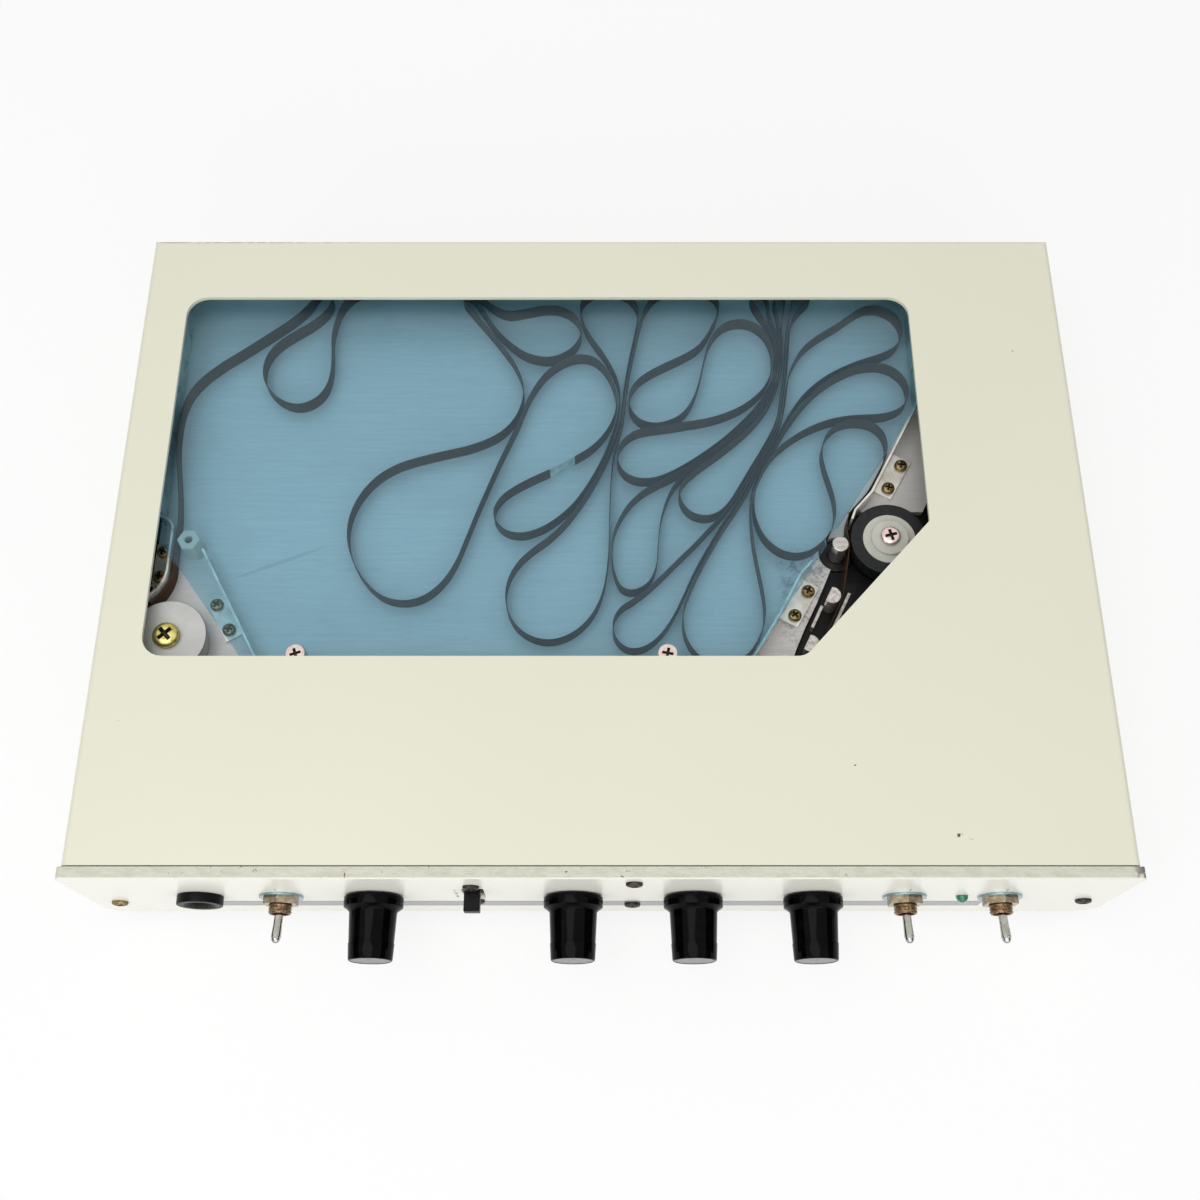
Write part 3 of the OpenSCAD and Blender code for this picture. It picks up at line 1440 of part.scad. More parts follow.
chassis_base();
front_panel();
top_cover();
rear_panel();
rubber_feet();
case_screws();
panel_screws();
mechanism_deck();
pillars();
deck_screws();
chamber_floor();
chamber_fence();
right_wall_upper();
right_wall_lower();
left_wall();
exit_guide();
chamber_lid();
lid_standoffs();
lid_screws();
echo_tape();
tape_splice();
deck_posts();
idler_screw();
capstan_bearing();
pinch_spring();
guide_bracket();
head_plate();
erase_head();
record_head();
playback_heads();
drive_motor();
drive_belt();
transformer();
circuit_board();
board_parts();
potentiometers();
toggle_switches();
toggle_nuts();
mode_switch();
input_jack();
output_jacks();
power_led();
cord_inlet();
fuse_holder();
idler_roller();
capstan_shaft();
flywheel();
motor_pulley();
pinch_arm();
pinch_screw();
pinch_hub();
pinch_tyre();
knob_1();
knob_2();
knob_3();
knob_4();
toggle_lever_1();
toggle_lever_2();
toggle_lever_3();
mode_lever();
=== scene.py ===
# The looks of the tape echo unit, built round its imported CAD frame.
# All lengths are in metres, in the frame's own axes: +X right, +Y back, +Z up.
import itertools
import json
import math

import bmesh
import bpy
from mathutils import Matrix, Vector


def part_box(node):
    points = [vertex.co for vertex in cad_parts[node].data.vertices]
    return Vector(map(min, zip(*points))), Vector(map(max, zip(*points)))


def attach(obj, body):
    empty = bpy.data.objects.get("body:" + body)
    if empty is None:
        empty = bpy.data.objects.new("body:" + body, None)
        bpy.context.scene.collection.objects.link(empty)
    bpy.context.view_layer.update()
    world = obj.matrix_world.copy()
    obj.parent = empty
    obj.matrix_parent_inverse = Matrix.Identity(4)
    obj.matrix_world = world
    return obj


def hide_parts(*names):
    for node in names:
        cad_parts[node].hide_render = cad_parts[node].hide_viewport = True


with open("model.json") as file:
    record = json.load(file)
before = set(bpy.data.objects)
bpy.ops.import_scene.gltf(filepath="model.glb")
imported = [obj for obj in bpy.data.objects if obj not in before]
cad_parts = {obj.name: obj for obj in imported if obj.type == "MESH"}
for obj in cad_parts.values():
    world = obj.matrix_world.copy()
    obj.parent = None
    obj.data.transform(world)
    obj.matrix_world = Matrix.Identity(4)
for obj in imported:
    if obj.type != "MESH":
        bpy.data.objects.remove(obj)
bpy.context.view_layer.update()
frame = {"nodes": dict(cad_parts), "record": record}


# ---- Camera and studio -----------------------------------------------------------------------
# The unit is seen from the front and steeply above, alone on white. The stage is a pale floor
# under an even sky, with a large soft box overhead, one in front and a thin strip at the left.
# Two black cards at the sides, which only gloss sees, give the metal its dark streaks.

CAMERA_AT = (0.00105, -0.2026, 0.4901)
CAMERA_PITCH = math.radians(22.9)
LENS_MM = 41.58
SENSOR_MM = 36
MIDDLE_OFF_PX = 4
PHOTO_PX = 1200

camera_data = bpy.data.cameras.new("camera")
camera_data.lens = LENS_MM
camera_data.sensor_width = SENSOR_MM
camera_data.shift_x = -MIDDLE_OFF_PX / PHOTO_PX
camera_data.clip_start = 0.01
camera = bpy.data.objects.new("camera", camera_data)
camera.location = CAMERA_AT
camera.rotation_euler = (CAMERA_PITCH, 0, 0)
bpy.context.scene.collection.objects.link(camera)
bpy.context.scene.camera = camera
bpy.context.scene.view_settings.view_transform = "Standard"


def srgb(red, green, blue):
    """The linear colour of an sRGB one given from 0 to 255."""
    return tuple(
        c / 12.92 if c <= 0.04045 else ((c + 0.055) / 1.055) ** 2.4
        for c in (red / 255, green / 255, blue / 255)
    ) + (1.0,)


class Value:
    """What leaves a node's socket. Plain arithmetic on it adds Math nodes."""

    def __init__(self, finish, socket):
        self.finish = finish
        self.socket = socket

    def math(self, operation, *terms):
        return self.finish.node("ShaderNodeMath", {"operation": operation}, dict(enumerate(terms)))

    def __add__(self, other):
        return self.math("ADD", self, other)

    def __sub__(self, other):
        return self.math("SUBTRACT", self, other)

    def __rsub__(self, other):
        return self.math("SUBTRACT", other, self)

    def __mul__(self, other):
        return self.math("MULTIPLY", self, other)

    def __truediv__(self, other):
        return self.math("DIVIDE", self, other)

    def __abs__(self):
        return self.math("ABSOLUTE", self)

    __radd__ = __add__
    __rmul__ = __mul__

    def most(self, other):
        return self.math("MAXIMUM", self, other)

    def rise(self, low, high):
        """0 below low and 1 above high, with a smooth step between them."""
        return self.finish.node(
            "ShaderNodeMapRange",
            {"interpolation_type": "SMOOTHSTEP"},
            {"Value": self, "From Min": low, "From Max": high},
        )

    def fall(self, low, high):
        return 1 - self.rise(low, high)


class Finish:
    """A material while it is made. Every node comes from node()."""

    def __init__(self, name):
        self.material = bpy.data.materials.new(name)
        self.material.use_nodes = True
        self.tree = self.material.node_tree
        self.tree.nodes.clear()

    def node(self, kind, settings=None, sockets=None, output=0):
        made = self.tree.nodes.new(kind)
        for name, value in (settings or {}).items():
            setattr(made, name, value)
        for key, value in (sockets or {}).items():
            if isinstance(value, Value):
                self.tree.links.new(value.socket, made.inputs[key])
            else:
                made.inputs[key].default_value = value
        return Value(self, made.outputs[output]) if made.outputs else made

    def place(self):
        return self.node("ShaderNodeTexCoord", output="Object")

    def along(self, axis):
        """The place along X, Y or Z."""
        return self.node("ShaderNodeSeparateXYZ", {}, {0: self.place()}, output=axis)

    def noise(self, size, stretch=(1, 1, 1), detail=3.0, roughness=0.5):
        """Noise with features of about that size, drawn out by stretch along each axis."""
        at = self.node(
            "ShaderNodeMapping",
            {},
            {"Vector": self.place(), "Scale": tuple(1 / (size * s) for s in stretch)},
        )
        return self.node(
            "ShaderNodeTexNoise",
            {},
            {"Vector": at, "Scale": 1.0, "Detail": detail, "Roughness": roughness},
        )

    def blend(self, share, first, second):
        """A colour from first, at share 0, to second, at share 1."""
        return self.node("ShaderNodeMix", {"data_type": "RGBA"}, {0: share, 6: first, 7: second}, 2)

    def bump(self, height, depth, strength=1.0):
        return self.node(
            "ShaderNodeBump", {}, {"Height": height, "Distance": depth, "Strength": strength}
        )

    def shader(self, kind="ShaderNodeBsdfPrincipled", **sockets):
        return self.node(kind, {}, {k.replace("_", " "): v for k, v in sockets.items()})

    def mixed(self, share, first, second):
        return self.node("ShaderNodeMixShader", {}, {0: share, 1: first, 2: second})

    def done(self, surface):
        self.node("ShaderNodeOutputMaterial", {}, {"Surface": surface})
        return self.material


def seen_rays(finish):
    """1 for a camera, glossy or transmission ray, and 0 for every other."""
    seen = finish.node("ShaderNodeLightPath", output="Is Camera Ray")
    for ray in ("Is Glossy Ray", "Is Transmission Ray"):
        seen = seen.most(finish.node("ShaderNodeLightPath", output=ray))
    return seen


FLOOR_HALF = 2.2
FLOOR_SINK = 0.0003
FLOOR_GREY = (0.82, 0.82, 0.82, 1)
FLOOR_GLOW = 1.05
GLOW_SHARE = 0.72

floor_finish = Finish("studio_floor")
floor_mesh = bpy.data.meshes.new("studio_floor")
floor_mesh.from_pydata(
    [(x, y, -FLOOR_SINK) for x, y in ((-1, -1), (1, -1), (1, 1), (-1, 1))], [], [(0, 1, 2, 3)]
)
floor_mesh.transform(Matrix.Diagonal((FLOOR_HALF, FLOOR_HALF, 1, 1)))
floor_mesh.materials.append(
    floor_finish.done(
        floor_finish.mixed(
            seen_rays(floor_finish) * GLOW_SHARE,
            floor_finish.shader(Base_Color=FLOOR_GREY, Roughness=0.9),
            floor_finish.shader("ShaderNodeEmission", Color=(1, 1, 1, 1), Strength=FLOOR_GLOW),
        )
    )
)
floor = bpy.data.objects.new("studio_floor", floor_mesh)
bpy.context.scene.collection.objects.link(floor)

SKY = 0.56
world = bpy.data.worlds.new("sky")
world.use_nodes = True
sky = Finish("sky_maths")
sky.tree = world.node_tree
sky.tree.nodes.clear()
sky_light = sky.node(
    "ShaderNodeBackground",
    {},
    {"Color": (1, 1, 1, 1), "Strength": seen_rays(sky) * (1 - SKY) + SKY},
)
sky.node("ShaderNodeOutputWorld", {}, {"Surface": sky_light})
bpy.data.materials.remove(sky.material)
bpy.context.scene.world = world


def soft_box(name, at, aim, width, height, watts):
    """A soft box whose light falls from one point towards another."""
    data = bpy.data.lights.new(name, "AREA")
    data.shape = "RECTANGLE"
    data.size = width
    data.size_y = height
    data.energy = watts
    lamp = bpy.data.objects.new(name, data)
    lamp.location = at
    lamp.rotation_euler = (Vector(aim) - Vector(at)).to_track_quat("-Z", "Y").to_euler()
    bpy.context.scene.collection.objects.link(lamp)


soft_box("overhead_box", (-0.25, -0.35, 1.35), (0, 0.02, 0.05), 1.1, 0.8, 6.0)
soft_box("front_box", (0.15, -1.3, 0.7), (0, -0.1, 0.03), 1.2, 0.5, 5.0)
soft_box("strip_box", (-0.75, -0.7, 0.6), (0, -0.1, 0.03), 0.05, 0.6, 1.4)

CARD_OUT = 0.62
CARD_HEIGHT = (0.05, 0.42)
CARD_ALONG = (-0.7, 0.5)
card_finish = Finish("black_card")
card_black = card_finish.done(
    card_finish.shader(Base_Color=(0.01, 0.01, 0.01, 1), Roughness=1.0, Specular_IOR_Level=0.0)
)
for side, name in ((-1, "black_card_left"), (1, "black_card_right")):
    card_mesh = bpy.data.meshes.new(name)
    corners = [(side * CARD_OUT, y, z) for y, z in itertools.product(CARD_ALONG, CARD_HEIGHT)]
    card_mesh.from_pydata(corners, [], [(0, 1, 3, 2)])
    card_mesh.materials.append(card_black)
    card = bpy.data.objects.new(name, card_mesh)
    card.visible_camera = False
    card.visible_diffuse = False
    card.visible_shadow = False
    bpy.context.scene.collection.objects.link(card)


# ---- Case: chassis, pillars and feet ---------------------------------------------------------
# A folded tray of zinc plated steel with a wall behind the panel. Round steel pillars carry the
# deck, and four moulded rubber feet are screwed on from below.

body_of = {
    node: body for body, nodes in frame["record"]["behaviour"]["bodies"].items() for node in nodes
}


def finish_nodes(material, *nodes):
    """Gives CAD nodes their material."""
    for node in nodes:
        mesh = frame["nodes"][node].data
        mesh.materials.clear()
        mesh.materials.append(material)


def add_piece(name, mesh, *nodes, body="root", slot=None):
    """A finished mesh as a piece of the object, in place of the CAD nodes that it stands for."""
    made = bpy.data.objects.new(name, mesh)
    bpy.context.scene.collection.objects.link(made)
    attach(made, body)
    if nodes:
        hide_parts(*nodes)
    return made


WELD_GAP = 2e-6
FLAT_ANGLE = math.radians(0.6)


def welded(node, whole=True):
    """A CAD node's faces as one welded form, with its flat faces whole again if asked."""
    form = bmesh.new()
    form.from_mesh(frame["nodes"][node].data)
    bmesh.ops.remove_doubles(form, verts=form.verts, dist=WELD_GAP)
    if whole:
        bmesh.ops.dissolve_limit(
            form, angle_limit=FLAT_ANGLE, verts=form.verts, edges=form.edges
        )
    bmesh.ops.recalc_face_normals(form, faces=form.faces)
    return form


def evaluated(name, mesh, *steps):
    """The plain mesh that modifiers, each a kind and its settings, make of a mesh."""
    holder = bpy.data.objects.new(name + "_form", mesh)
    bpy.context.scene.collection.objects.link(holder)
    for kind, settings in steps:
        step = holder.modifiers.new(kind.lower(), kind)
        for setting, value in settings.items():
            if setting == "inputs":
                for item in step.node_group.interface.items_tree:
                    if item.in_out == "INPUT" and item.name in value:
                        step[item.identifier] = value[item.name]
            else:
                setattr(step, setting, value)
    bpy.context.view_layer.update()
    seen = holder.evaluated_get(bpy.context.evaluated_depsgraph_get())
    result = bpy.data.meshes.new_from_object(seen)
    bpy.data.objects.remove(holder)
    result.name = name
    return result


def ease_nodes(material, width, *nodes, segments=2, angle=35):
    """Pieces that stand for CAD nodes, their sharp edges eased as a tool or a mould leaves them."""
    for node in nodes:
        form = welded(node)
        mesh = bpy.data.meshes.new(node)
        form.to_mesh(mesh)
        form.free()
        mesh.polygons.foreach_set("use_smooth", [True] * len(mesh.polygons))
        mesh.materials.clear()
        mesh.materials.append(material)
        ease = {
            "width": width,
            "segments": segments,
            "limit_method": "ANGLE",
            "angle_limit": math.radians(angle),
        }
        even = {"weight": 100, "keep_sharp": True}
        mesh = evaluated(node, mesh, ("BEVEL", ease), ("WEIGHTED_NORMAL", even))
        add_piece(node + "_eased", mesh, node, body=body_of[node])


def clouded(name, dark, light, grain, metallic, rough, spread=0.15, relief=0.0, gloss=0.5):
    """A finish that varies between two colours in clouds of the grain's size."""
    made = Finish(name)
    cloud = made.noise(grain, detail=4.0)
    sockets = {"Normal": made.bump(made.noise(grain * 0.15), relief)} if relief else {}
    return made.done(
        made.shader(
            Base_Color=made.blend(cloud.rise(0.3, 0.7), dark, light),
            Metallic=metallic,
            Roughness=cloud * spread + rough,
            Specular_IOR_Level=gloss,
            **sockets,
        )
    )


zinc_steel = clouded("zinc_steel", srgb(150, 153, 150), srgb(196, 196, 188), 0.012, 0.85, 0.28)
rubber = clouded(
    "black_rubber", srgb(24, 24, 25), srgb(40, 40, 40), 0.003, 0, 0.55, relief=0.00005
)
ease_nodes(zinc_steel, 0.0003, "chassis_base", "pillars")
ease_nodes(rubber, 0.0006, "rubber_feet")


# ---- Circuit board, transformer and motor ----------------------------------------------------
# Inside the tray: a green board with its parts, an iron-cored transformer and a small steel motor
# whose brass pulley turns the flywheel by a rubber belt.

board_green = clouded("board_green", srgb(22, 76, 52), srgb(34, 104, 70), 0.006, 0, 0.3)
iron = clouded("transformer_iron", srgb(62, 60, 58), srgb(98, 96, 92), 0.004, 0.6, 0.4)
part_blue = clouded("board_part_blue", srgb(28, 42, 76), srgb(48, 62, 98), 0.004, 0, 0.35)
motor_steel = clouded("motor_steel", srgb(168, 170, 172), srgb(200, 200, 200), 0.01, 0.9, 0.2)
old_brass = clouded(
    "old_brass", srgb(88, 74, 48), srgb(168, 146, 98), 0.0012, 0.85, 0.25, 0.25, 0.00003
)
finish_nodes(board_green, "circuit_board")
ease_nodes(iron, 0.0003, "transformer")
ease_nodes(part_blue, 0.0004, "board_parts")
ease_nodes(motor_steel, 0.0004, "drive_motor")
ease_nodes(old_brass, 0.0002, "motor_pulley")
finish_nodes(rubber, "drive_belt")


# ---- Flywheel and capstan --------------------------------------------------------------------
# A turned flywheel on a ground steel shaft, which runs in a bronze bearing in the deck. The
# shaft's upper end is the capstan, which draws the tape.

turned = Finish("turned_aluminium")
turning = turned.noise(0.0006, stretch=(1, 1, 0.2), detail=2.0)
turned_aluminium = turned.done(
    turned.shader(
        Base_Color=turned.blend(turned.noise(0.006), srgb(176, 177, 176), srgb(204, 203, 199)),
        Metallic=0.55,
        Roughness=turning * 0.2 + 0.42,
        Normal=turned.bump(turning, 0.00003),
    )
)
ground_steel = clouded("ground_steel", srgb(176, 170, 164), srgb(202, 197, 191), 0.002, 0.9, 0.1)
oiled_bronze = clouded("oiled_bronze", srgb(24, 21, 18), srgb(44, 37, 30), 0.002, 0.5, 0.35)
ease_nodes(turned_aluminium, 0.0003, "flywheel")
ease_nodes(ground_steel, 0.0002, "capstan_shaft")
ease_nodes(oiled_bronze, 0.0003, "capstan_bearing")


# ---- Deck, posts and head plate --------------------------------------------------------------
# A black sheet steel deck carries the tape's path: steel posts, the bent guide bracket with its
# two half round posts, and the aluminium plate of the heads. The bracket's foot carries painted
# shade: its lowest part is near black and not metallic.

deck_black = clouded(
    "deck_black", srgb(9, 9, 9), srgb(20, 19, 18), 0.004, 0, 0.42, relief=0.00004, gloss=0.2
)
post_steel = clouded("post_steel", srgb(176, 176, 172), srgb(224, 223, 218), 0.005, 0.8, 0.2)
plate_aluminium = clouded(
    "plate_aluminium", srgb(186, 186, 184), srgb(206, 205, 202), 0.01, 0.8, 0.3
)
# Painted shade: the bracket's lowest part, up to this height above its foot, is painted near black
# and not metallic.
SHADE_FOOT_H = 0.0012
SHADE_FOOT_BLUR = 0.0003
bracket = Finish("guide_bracket_steel_and_shade")
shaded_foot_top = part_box("guide_bracket")[0].z + SHADE_FOOT_H
above_painted_shade = bracket.along("Z").rise(shaded_foot_top, shaded_foot_top + SHADE_FOOT_BLUR)
worn = bracket.noise(0.0012, stretch=(1, 1, 0.4), detail=4.0)
bracket_top = bracket.blend(worn.rise(0.3, 0.7), srgb(168, 160, 154), srgb(214, 208, 202))
bracket_steel = bracket.done(
    bracket.shader(
        Base_Color=bracket.blend(above_painted_shade, srgb(14, 14, 12), bracket_top),
        Metallic=above_painted_shade * 0.75,
        Roughness=worn * 0.2 + 0.28,
        Specular_IOR_Level=0.2,
    )
)
finish_nodes(deck_black, "mechanism_deck")
finish_nodes(bracket_steel, "guide_bracket")
ease_nodes(post_steel, 0.0002, "deck_posts")
finish_nodes(plate_aluminium, "head_plate")


# ---- Heads -----------------------------------------------------------------------------------
# An erase head of dark moulded plastic, a record head and three playback heads in drawn metal
# cans, all mounted on their plate with the tape running past their rounded faces.

head_metal = clouded("head_metal", srgb(186, 186, 186), srgb(214, 213, 210), 0.004, 0.95, 0.15)
head_black = clouded("head_black", srgb(26, 26, 27), srgb(40, 39, 38), 0.003, 0, 0.35)
ease_nodes(head_metal, 0.0004, "record_head", "playback_heads")
ease_nodes(head_black, 0.0004, "erase_head")


# ---- Screws ----------------------------------------------------------------------------------
# Pan head screws of brass with a Phillips recess, driven from above: through the foot tabs of the
# tape walls, into the pillars and through the head plate. Each is turned its own way.


def lathe(name, profile, steps=40):
    """A mesh turned about Z from a profile of (radius, height) points, closed where radius is 0."""
    form = bmesh.new()
    rings = []
    for radius, height in profile:
        count = steps if radius else 1
        turns = [math.tau * i / steps for i in range(count)]
        rings.append(
            [form.verts.new((radius * math.cos(t), radius * math.sin(t), height)) for t in turns]
        )
    for low, high in zip(rings, rings[1:]):
        for i in range(steps):
            corners = [low[i % len(low)], low[(i + 1) % len(low)]]
            corners += [high[(i + 1) % len(high)], high[i % len(high)]]
            form.faces.new(list(dict.fromkeys(corners)))
    bmesh.ops.recalc_face_normals(form, faces=form.faces)
    mesh = bpy.data.meshes.new(name)
    form.to_mesh(mesh)
    form.free()
    return smooth_by_angle(mesh)


def smooth_by_angle(mesh, angle=32):
    """The mesh, smooth but for its edges that turn by more than the angle."""
    mesh.polygons.foreach_set("use_smooth", [True] * len(mesh.polygons))
    mesh.set_sharp_from_angle(angle=math.radians(angle))
    return mesh


# Painted shade: recess faces this near the middle and between these shares of its depth are marked,
# to be painted dark.
RECESS_MOUTH = (1.35, 0.36)
RECESS_TIP = (0.65, 0.16)
SHADE_R = 0.52
SHADE_DEPTHS = (0.12, 1.02)


def with_recess(head, top, width, depth):
    """The head with a tapered Phillips cross sunk into its top. Its sunk faces are marked for
    painted shade.
    """
    form = bmesh.new()
    for turn in (0, 90):
        made = bmesh.ops.create_cube(form, size=1)["verts"]
        for v in made:
            tip = v.co.z < 0
            reach, arm = (width * share for share in (RECESS_TIP if tip else RECESS_MOUTH))
            v.co = Vector((v.co.x * reach, v.co.y * arm, top - depth if tip else top + depth))
        bmesh.ops.rotate(form, verts=made, matrix=Matrix.Rotation(math.radians(turn), 3, "Z"))
    cutter_mesh = bpy.data.meshes.new("cross")
    form.to_mesh(cutter_mesh)
    form.free()
    cutter = bpy.data.objects.new("cross", cutter_mesh)
    bpy.context.scene.collection.objects.link(cutter)
    cut = {"object": cutter, "solver": "EXACT", "use_self": True}
    result = evaluated("cross_head", head, ("BOOLEAN", cut))
    bpy.data.objects.remove(cutter)
    sunk = result.attributes.new("sunk", "BOOLEAN", "FACE")
    for face, mark in zip(result.polygons, sunk.data):
        near = face.center.xy.length < width * SHADE_R
        below = (top - face.center.z) / depth
        mark.value = near and SHADE_DEPTHS[0] < below < SHADE_DEPTHS[1]
    return smooth_by_angle(result, 40)


SIDE_SHARE = 0.45
FLAT_SHARE = 0.4


def pan_head(radius, height, shank_len):
    """A pan head screw with its seat at z = 0: an upright side, then a crown to a small flat."""
    shank = radius * 0.45
    profile = [(0, -shank_len), (shank, -shank_len), (shank, 0), (radius * 0.96, 0)]
    profile += [(radius, height * 0.1), (radius, height * SIDE_SHARE)]
    for degrees in (16, 32, 48, 64, 80):
        turn = math.radians(degrees)
        crown_r = radius * (FLAT_SHARE + (1 - FLAT_SHARE) * math.cos(turn))
        crown_z = height * (SIDE_SHARE + (1 - SIDE_SHARE) * math.sin(turn))
        profile.append((crown_r, crown_z))
    profile.append((0, height))
    return with_recess(lathe("pan_head", profile), height, radius * 1.25, height * 0.7)


def islands(node):
    """The boxes of a CAD node's separate solids, as (low, high) corners, from the left."""
    form = bmesh.new()
    form.from_mesh(frame["nodes"][node].data)
    bmesh.ops.remove_doubles(form, verts=form.verts, dist=WELD_GAP)
    left = set(form.verts)
    boxes = []
    while left:
        group = [left.pop()]
        for v in group:
            for edge in v.link_edges:
                other = edge.other_vert(v)
                if other in left:
                    left.remove(other)
                    group.append(other)
        low = Vector([min(v.co[i] for v in group) for i in range(3)])
        high = Vector([max(v.co[i] for v in group) for i in range(3)])
        boxes.append((low, high))
    form.free()
    return sorted(boxes, key=lambda box: tuple(round(c, 5) for c in box[0]))


def screw_tree():
    """Sets one screw on each point, its Z along the point's way, turned by chance."""
    tree = bpy.data.node_groups.new("screws_in_places", "GeometryNodeTree")
    face = tree.interface
    face.new_socket("Geometry", in_out="INPUT", socket_type="NodeSocketGeometry")
    face.new_socket("Screw", in_out="INPUT", socket_type="NodeSocketObject")
    face.new_socket("Turn seed", in_out="INPUT", socket_type="NodeSocketInt")
    face.new_socket("Finish", in_out="INPUT", socket_type="NodeSocketMaterial")
    face.new_socket("Recess finish", in_out="INPUT", socket_type="NodeSocketMaterial")
    face.new_socket("Geometry", in_out="OUTPUT", socket_type="NodeSocketGeometry")
    nodes, link = tree.nodes, tree.links.new
    given = nodes.new("NodeGroupInput")
    screw = nodes.new("GeometryNodeObjectInfo")
    link(given.outputs["Screw"], screw.inputs["Object"])
    way = nodes.new("GeometryNodeInputNamedAttribute")
    way.data_type = "FLOAT_VECTOR"
    way.inputs["Name"].default_value = "way"
    stand = nodes.new("FunctionNodeAlignRotationToVector")
    stand.axis = "Z"
    link(way.outputs["Attribute"], stand.inputs["Vector"])
    chance = nodes.new("FunctionNodeRandomValue")
    chance.data_type = "FLOAT_VECTOR"
    chance.inputs[0].default_value = (0, 0, 0)
    chance.inputs[1].default_value = (0, 0, math.pi / 2)
    link(given.outputs["Turn seed"], chance.inputs["Seed"])
    turn = nodes.new("FunctionNodeEulerToRotation")
    link(chance.outputs[0], turn.inputs["Euler"])
    turned_screw = nodes.new("FunctionNodeRotateRotation")
    turned_screw.rotation_space = "LOCAL"
    link(stand.outputs["Rotation"], turned_screw.inputs["Rotation"])
    link(turn.outputs["Rotation"], turned_screw.inputs["Rotate By"])
    put = nodes.new("GeometryNodeInstanceOnPoints")
    link(given.outputs["Geometry"], put.inputs["Points"])
    link(screw.outputs["Geometry"], put.inputs["Instance"])
    link(turned_screw.outputs["Rotation"], put.inputs["Rotation"])
    real = nodes.new("GeometryNodeRealizeInstances")
    link(put.outputs["Instances"], real.inputs["Geometry"])
    coat = nodes.new("GeometryNodeSetMaterial")
    link(real.outputs["Geometry"], coat.inputs["Geometry"])
    link(given.outputs["Finish"], coat.inputs["Material"])
    # Painted shade: the marked faces of each recess get the dark recess material.
    sunk = nodes.new("GeometryNodeInputNamedAttribute")
    sunk.data_type = "BOOLEAN"
    sunk.inputs["Name"].default_value = "sunk"
    soil_and_shade = nodes.new("GeometryNodeSetMaterial")
    link(coat.outputs["Geometry"], soil_and_shade.inputs["Geometry"])
    link(sunk.outputs["Attribute"], soil_and_shade.inputs["Selection"])
    link(given.outputs["Recess finish"], soil_and_shade.inputs["Material"])
    out = nodes.new("NodeGroupOutput")
    link(soil_and_shade.outputs["Geometry"], out.inputs["Geometry"])
    return tree


SCREW_TREE = screw_tree()
# Painted shade for the screw recesses: a dark brown on their sunk faces.
recess_painted_shade = clouded("recess_painted_shade", srgb(26, 22, 14), srgb(66, 56, 34), 0.0006, 0.4, 0.45)
UP = Vector((0, 0, 1))
FRONT = Vector((0, -1, 0))


def screws(name, places, head, material, seed, *nodes, body="root", slot=None):
    """One piece with a screw at each place, given as (its seat, the way that it faces)."""
    carrier = bpy.data.meshes.new(name + "_places")
    carrier.from_pydata([seat for seat, _ in places], [], [])
    ways = carrier.attributes.new("way", "FLOAT_VECTOR", "POINT")
    ways.data.foreach_set("vector", [c for _, way in places for c in way])
    pattern = bpy.data.objects.new(name + "_pattern", head)
    bpy.context.scene.collection.objects.link(pattern)
    inputs = {"Screw": pattern, "Turn seed": seed, "Finish": material}
    inputs["Recess finish"] = recess_painted_shade
    mesh = evaluated(name, carrier, ("NODES", {"node_group": SCREW_TREE, "inputs": inputs}))
    bpy.data.objects.remove(pattern)
    return add_piece(name, mesh, *nodes, body=body, slot=slot)


def seats(node, head_h):
    """The seats of a node's upright screws, whose heads are that high."""
    return [
        (Vector(((a.x + b.x) / 2, (a.y + b.y) / 2, b.z - head_h)), UP) for a, b in islands(node)
    ]


SMALL_HEAD = (0.0023, 0.0017)
screws(
    "brass_deck_screws",
    seats("deck_screws", SMALL_HEAD[1]),
    pan_head(*SMALL_HEAD, shank_len=0.003),
    old_brass,
    3,
    "deck_screws",
)


# ---- Tape chamber: floor and walls -----------------------------------------------------------
# The tape lies loose on a sheet of aluminium, brushed from side to side. A bent steel fence and
# short tin plated walls, screwed down by their foot tabs, hold it in.

floor_sheet = Finish("brushed_aluminium")
brush = floor_sheet.noise(0.00035, stretch=(22, 1, 1), detail=3.0)
wide_brush = floor_sheet.noise(0.0012, stretch=(30, 1, 1), detail=2.0)
mottle = floor_sheet.noise(0.0022, detail=5.0, roughness=0.65)
soil_and_shade = floor_sheet.noise(0.03, detail=4.0)
SCRATCH_FROM = (-0.1307, -0.0061)
SCRATCH_TO = (-0.0965, 0.0075)
run = Vector((SCRATCH_TO[0] - SCRATCH_FROM[0], SCRATCH_TO[1] - SCRATCH_FROM[1]))
x = floor_sheet.along("X") - SCRATCH_FROM[0]
y = floor_sheet.along("Y") - SCRATCH_FROM[1]
part_way = (x * run.x + y * run.y) / run.length_squared
off_line = abs(x * run.y - y * run.x) / run.length + (part_way - 0.5) * (part_way - 0.5) * 0.003
scratch = off_line.fall(0.0003, 0.0011) * part_way.rise(-0.1, 0.1) * part_way.fall(0.9, 1.1)
WORN_MIDDLE = (0.0745, -0.013)
WORN_REACH = (0.008, 0.014)
worn_out = abs(floor_sheet.along("X") - WORN_MIDDLE[0]).most(
    abs(floor_sheet.along("Y") - WORN_MIDDLE[1]) * 0.6
)
sheen = floor_sheet.blend(wide_brush.rise(0.2, 0.8), srgb(206, 203, 200), srgb(213, 210, 206))
sheen = floor_sheet.blend(soil_and_shade.rise(0.45, 0.75) * 0.2, sheen, srgb(180, 176, 174))
sheen = floor_sheet.blend(
    worn_out.fall(*WORN_REACH) * mottle.rise(0.42, 0.68) * 0.75, sheen, srgb(112, 104, 98)
)
sheen = floor_sheet.blend(scratch * 0.3, sheen, srgb(140, 138, 136))
